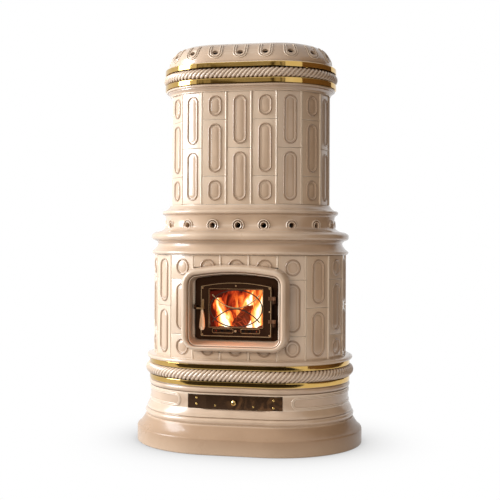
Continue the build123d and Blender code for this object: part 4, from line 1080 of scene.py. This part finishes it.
def log_piece(bm, start, end, radius, seed):
    """A split log: a rough cone frustum from end to end."""
    start, end = Vector(start), Vector(end)
    axis = end - start
    turn = axis.to_track_quat("Z", "Y").to_matrix().to_4x4()
    made = bmesh.ops.create_cone(
        bm, cap_ends=True, segments=14, radius1=radius, radius2=radius * 0.86, depth=axis.length,
        matrix=Matrix.Translation((start + end) / 2) @ turn,
    )["verts"]
    roughen(made, seed, radius * 0.14)


bm = bmesh.new()
for seed, (start, end, radius) in enumerate((
    ((-0.14, -0.175, 0.505), (0.135, -0.165, 0.508), 0.024),
    ((-0.125, -0.09, 0.515), (0.13, -0.1, 0.512), 0.028),
    ((-0.008, -0.205, 0.572), (0.016, -0.06, 0.625), 0.034),
    ((0.085, -0.19, 0.535), (0.115, -0.05, 0.56), 0.024),
    ((-0.095, -0.19, 0.532), (-0.12, -0.06, 0.555), 0.022),
), 1):
    log_piece(bm, start, end, radius, seed)
long_edges = [e for e in bm.edges if e.calc_length() > 0.06]
bmesh.ops.subdivide_edges(bm, edges=long_edges, cuts=7, use_grid_fill=True)
roughen(bm.verts, 8, 0.0022)
logs = finished("split_logs", bm, ember, sharp=60)
print("logs", len(logs.data.polygons))


# %% Sheets of flame
def flame_sheet(name, middle, foot, top, half, bend, material, lean=0.0, pointed=True):
    """A sheet of flame in front of a middle point, bent backward or forward at its sides."""
    bm = bmesh.new()
    bmesh.ops.create_grid(bm, x_segments=20, y_segments=20, size=0.5, calc_uvs=False)
    place_on = bm.loops.layers.uv.new("flame")
    for face in bm.faces:
        for loop in face.loops:
            loop[place_on].uv = (loop.vert.co.x + 0.5, loop.vert.co.y + 0.5)
    for v in bm.verts:
        u, w = v.co.x * 2, v.co.y + 0.5
        width = half * (0.62 + 0.75 * w) * sqrt(1 - w ** 2.2 * 0.97) if pointed else half
        x = middle[0] + u * width + lean * w + 0.01 * sin(7 * w + 20 * middle[0])
        y = middle[1] + bend * (1 - u * u) + 0.006 * sin(6 * u + 5 * w)
        v.co = (x, y, foot + (top - foot) * w)
    return finished(name, bm, material)


flames = [
    flame_sheet("flame_rear", (0.0, -0.2), 0.486, 0.722, 0.154, 0.31, flame_back, pointed=False),
    flame_sheet("flame_left", (-0.076, -0.15), 0.5, 0.69, 0.05, -0.02, flame_tongue, -0.036),
    flame_sheet("flame_right", (0.062, -0.14), 0.5, 0.722, 0.046, -0.02, flame_tongue, 0.028),
    flame_sheet("flame_middle", (0.004, 0.0), 0.5, 0.715, 0.06, -0.02, flame_tongue, 0.012),
    flame_sheet("flame_corner", (-0.128, -0.08), 0.49, 0.7, 0.026, -0.01, flame_tongue, 0.006),
    flame_sheet("flame_edge", (0.126, -0.08), 0.49, 0.69, 0.026, -0.01, flame_tongue, -0.01),
]
print("sheets of flame", len(flames))

# %% [markdown]
# ## Studio
# A pale floor and a white world stand behind the stove, and a large soft lamp at the left gives
# the bright side. Three cards that the camera doesn't see stand in for the dark half of the
# room, so that the polished brass shows dark streaks: one on the floor, one behind the camera,
# with pale patches in its upper part, and a brown one at the right.


# %% Floor and cards
def stage_plane(name, place, size, turn, material, seen=False):
    """A flat card of the studio, which isn't part of the stove."""
    bm = bmesh.new()
    bmesh.ops.create_grid(bm, x_segments=1, y_segments=1, size=0.5)
    bmesh.ops.scale(bm, vec=(size[0], size[1], 1), verts=bm.verts[:])
    bmesh.ops.transform(bm, matrix=Matrix.Translation(place) @ turn, verts=bm.verts[:])
    mesh = mesh_from(name, bm)
    mesh.materials.append(material)
    made = new_object(name, mesh)
    made.visible_camera = seen


def sees_studio(tree):
    """1 for rays from the camera, off a mirror or through glass, which see the background."""
    rays = node(tree, "LightPath").outputs
    seen = maths(tree, "MAXIMUM", rays["Is Camera Ray"], rays["Is Glossy Ray"])
    return maths(tree, "MAXIMUM", seen, rays["Is Transmission Ray"])


def card_paint(name, colour):
    """Matt paint, without any gloss of its own."""
    material, tree, shader = principled(name)
    feed(tree, shader, {"Base Color": (*colour, 1), "Roughness": 1.0, "Specular IOR Level": 0.0})
    return material, tree, shader


floor_paint, tree, floor_shader = principled("floor_paint")
feed(tree, floor_shader, {"Base Color": (0.46, 0.46, 0.47, 1), "Roughness": 0.7})
# Painted shadow: ambient occlusion darkens the floor's white emission near the stove, as a soft contact
# shadow.
hidden = node(tree, "AmbientOcclusion", {"Distance": 0.26}, samples=12).outputs["AO"]
painted_floor_shadow = ranged(tree, hidden, 0.35, 0.97, 0.55, 1.0)
away = node(tree, "VectorMath", {0: own_place(tree)}, operation="LENGTH").outputs["Value"]
fade = ranged(tree, away, 0.5, 0.95, 0.9, interpolation_type="SMOOTHSTEP")
far = ranged(tree, away, 0.75, 1.15)
paper_with_painted_shadow = node(tree, "Emission", {
    "Color": (1, 1, 1, 1), "Strength": maths(tree, "MAXIMUM", painted_floor_shadow, far),
})
floor_mix = node(tree, "MixShader", {
    0: maths(tree, "MULTIPLY", fade, sees_studio(tree)), 1: floor_shader.outputs[0], 2: paper_with_painted_shadow.outputs[0],
})
feed(tree, tree.nodes["Material Output"], {"Surface": floor_mix.outputs[0]})

DARK_WALL = (0.02, 0.016, 0.012)
wall_paint, tree, wall_shader = card_paint("patched_card", DARK_WALL)
patches = ranged(tree, noise(tree, 0.9), 0.36, 0.5)
patched = mixed(tree, patches, (0.2, 0.16, 0.1, 1), (1.0, 0.95, 0.88, 1))
height = node(tree, "SeparateXYZ", {"Vector": own_place(tree)}).outputs["Z"]
wall_colour = mixed(tree, ranged(tree, height, 1.5, 2.2), (*DARK_WALL, 1), patched)
# Painted light: the card glows faintly in its own colours, so that its pale upper patches shine in the brass
# as bright streaks.
feed(tree, wall_shader, {
    "Base Color": wall_colour, "Emission Color": wall_colour, "Emission Strength": 0.2,
})

level = Matrix.Identity(4)
upright = Matrix.Rotation(pi / 2, 4, "X")
sidelong = Matrix.Rotation(pi / 2, 4, "Y") @ Matrix.Rotation(pi / 2, 4, "Z")
floor_dark = card_paint("dark_card", (0.035, 0.028, 0.022))[0]
brown = card_paint("brown_card", (0.22, 0.13, 0.07))[0]
stage_plane("studio_floor", (0, 0, 0), (60, 60), level, floor_paint, seen=True)
stage_plane("floor_card", (-2.9, -5.4, 0.004), (10.2, 7.6), level, floor_dark)
stage_plane("wall_card", (-2.0, -9.2, 3.0), (13.0, 6.0), upright, wall_paint)
stage_plane("side_card", (2.7, 0.4, 1.7), (4.2, 3.4), sidelong, brown)
print("studio floor and three cards")

# %% World and lamps
world = bpy.data.worlds.new("white_studio")
bpy.context.scene.world = world
world.use_nodes = True
tree = world.node_tree
tree.nodes.clear()
soft = node(tree, "Background", {"Color": (1.0, 0.97, 0.93, 1), "Strength": 0.3})
white = node(tree, "Background", {"Color": (1, 1, 1, 1), "Strength": 1.0})
sky = node(tree, "MixShader", {0: sees_studio(tree), 1: soft.outputs[0], 2: white.outputs[0]})
node(tree, "OutputWorld", {"Surface": sky.outputs[0]})


def lamp(name, place, aim, size, power, colour, mirrored=False):
    """A soft square lamp that the camera doesn't see; mirrored: the brass and glaze do."""
    light = bpy.data.lights.new(name, "AREA")
    light.shape = "RECTANGLE"
    light.size, light.size_y = size
    light.energy = power
    light.color = colour
    made = new_object(name, light)
    made.location = place
    made.rotation_euler = (Vector(aim) - Vector(place)).to_track_quat("-Z", "Y").to_euler()
    made.visible_camera = False
    made.visible_glossy = mirrored
    made.visible_transmission = False


lamp("left_window", (-3.6, -1.3, 2.3), (0, 0, 1.1), (1.8, 2.8), 262, (0.87, 0.93, 1.0), mirrored=True)
lamp("front_fill", (-1.5, -4.6, 1.9), (0, 0, 0.9), (1.6, 1.6), 84, (1.0, 0.93, 0.85))
lamp("right_low", (1.5, -1.7, 0.3), (0.1, 0, 0.15), (0.9, 0.4), 6.5, (1.0, 0.92, 0.82))
lamp("fire_glow", (0.0, -0.345, 0.64), (0.0, -0.6, 0.4), (0.22, 0.1), 0.4, (1.0, 0.3, 0.08))
print("lamps", len(bpy.data.lights))

# %% The photo's camera
# It was fitted to points of the picture, so its focal length is given in the picture's pixels.
# Distances are in metres and turns in radians.
SENSOR = 36.0
FOCAL_PIXELS, PICTURE_PIXELS = 972.47, 500
camera = bpy.data.cameras.new("photo_view")
camera.sensor_width = SENSOR
camera.lens = FOCAL_PIXELS / PICTURE_PIXELS * SENSOR
camera.shift_x = 0.03
camera.shift_y = -0.0457
viewer = new_object("photo_view", camera)
turn, distance, height = 0.18858, 4.7504, 0.9719
heading, pitch, roll = turn + 0.01517, -0.01152, 0.00484
viewer.location = (distance * sin(turn), -distance * cos(turn), height)
look = Vector((-sin(heading) * cos(pitch), cos(heading) * cos(pitch), -sin(pitch)))
sight = look.to_track_quat("-Z", "Y").to_matrix().to_4x4() @ Matrix.Rotation(roll, 4, "Z")
viewer.rotation_euler = sight.to_euler()
bpy.context.scene.camera = viewer
bpy.context.scene.view_settings.view_transform = "Standard"
print("camera set")
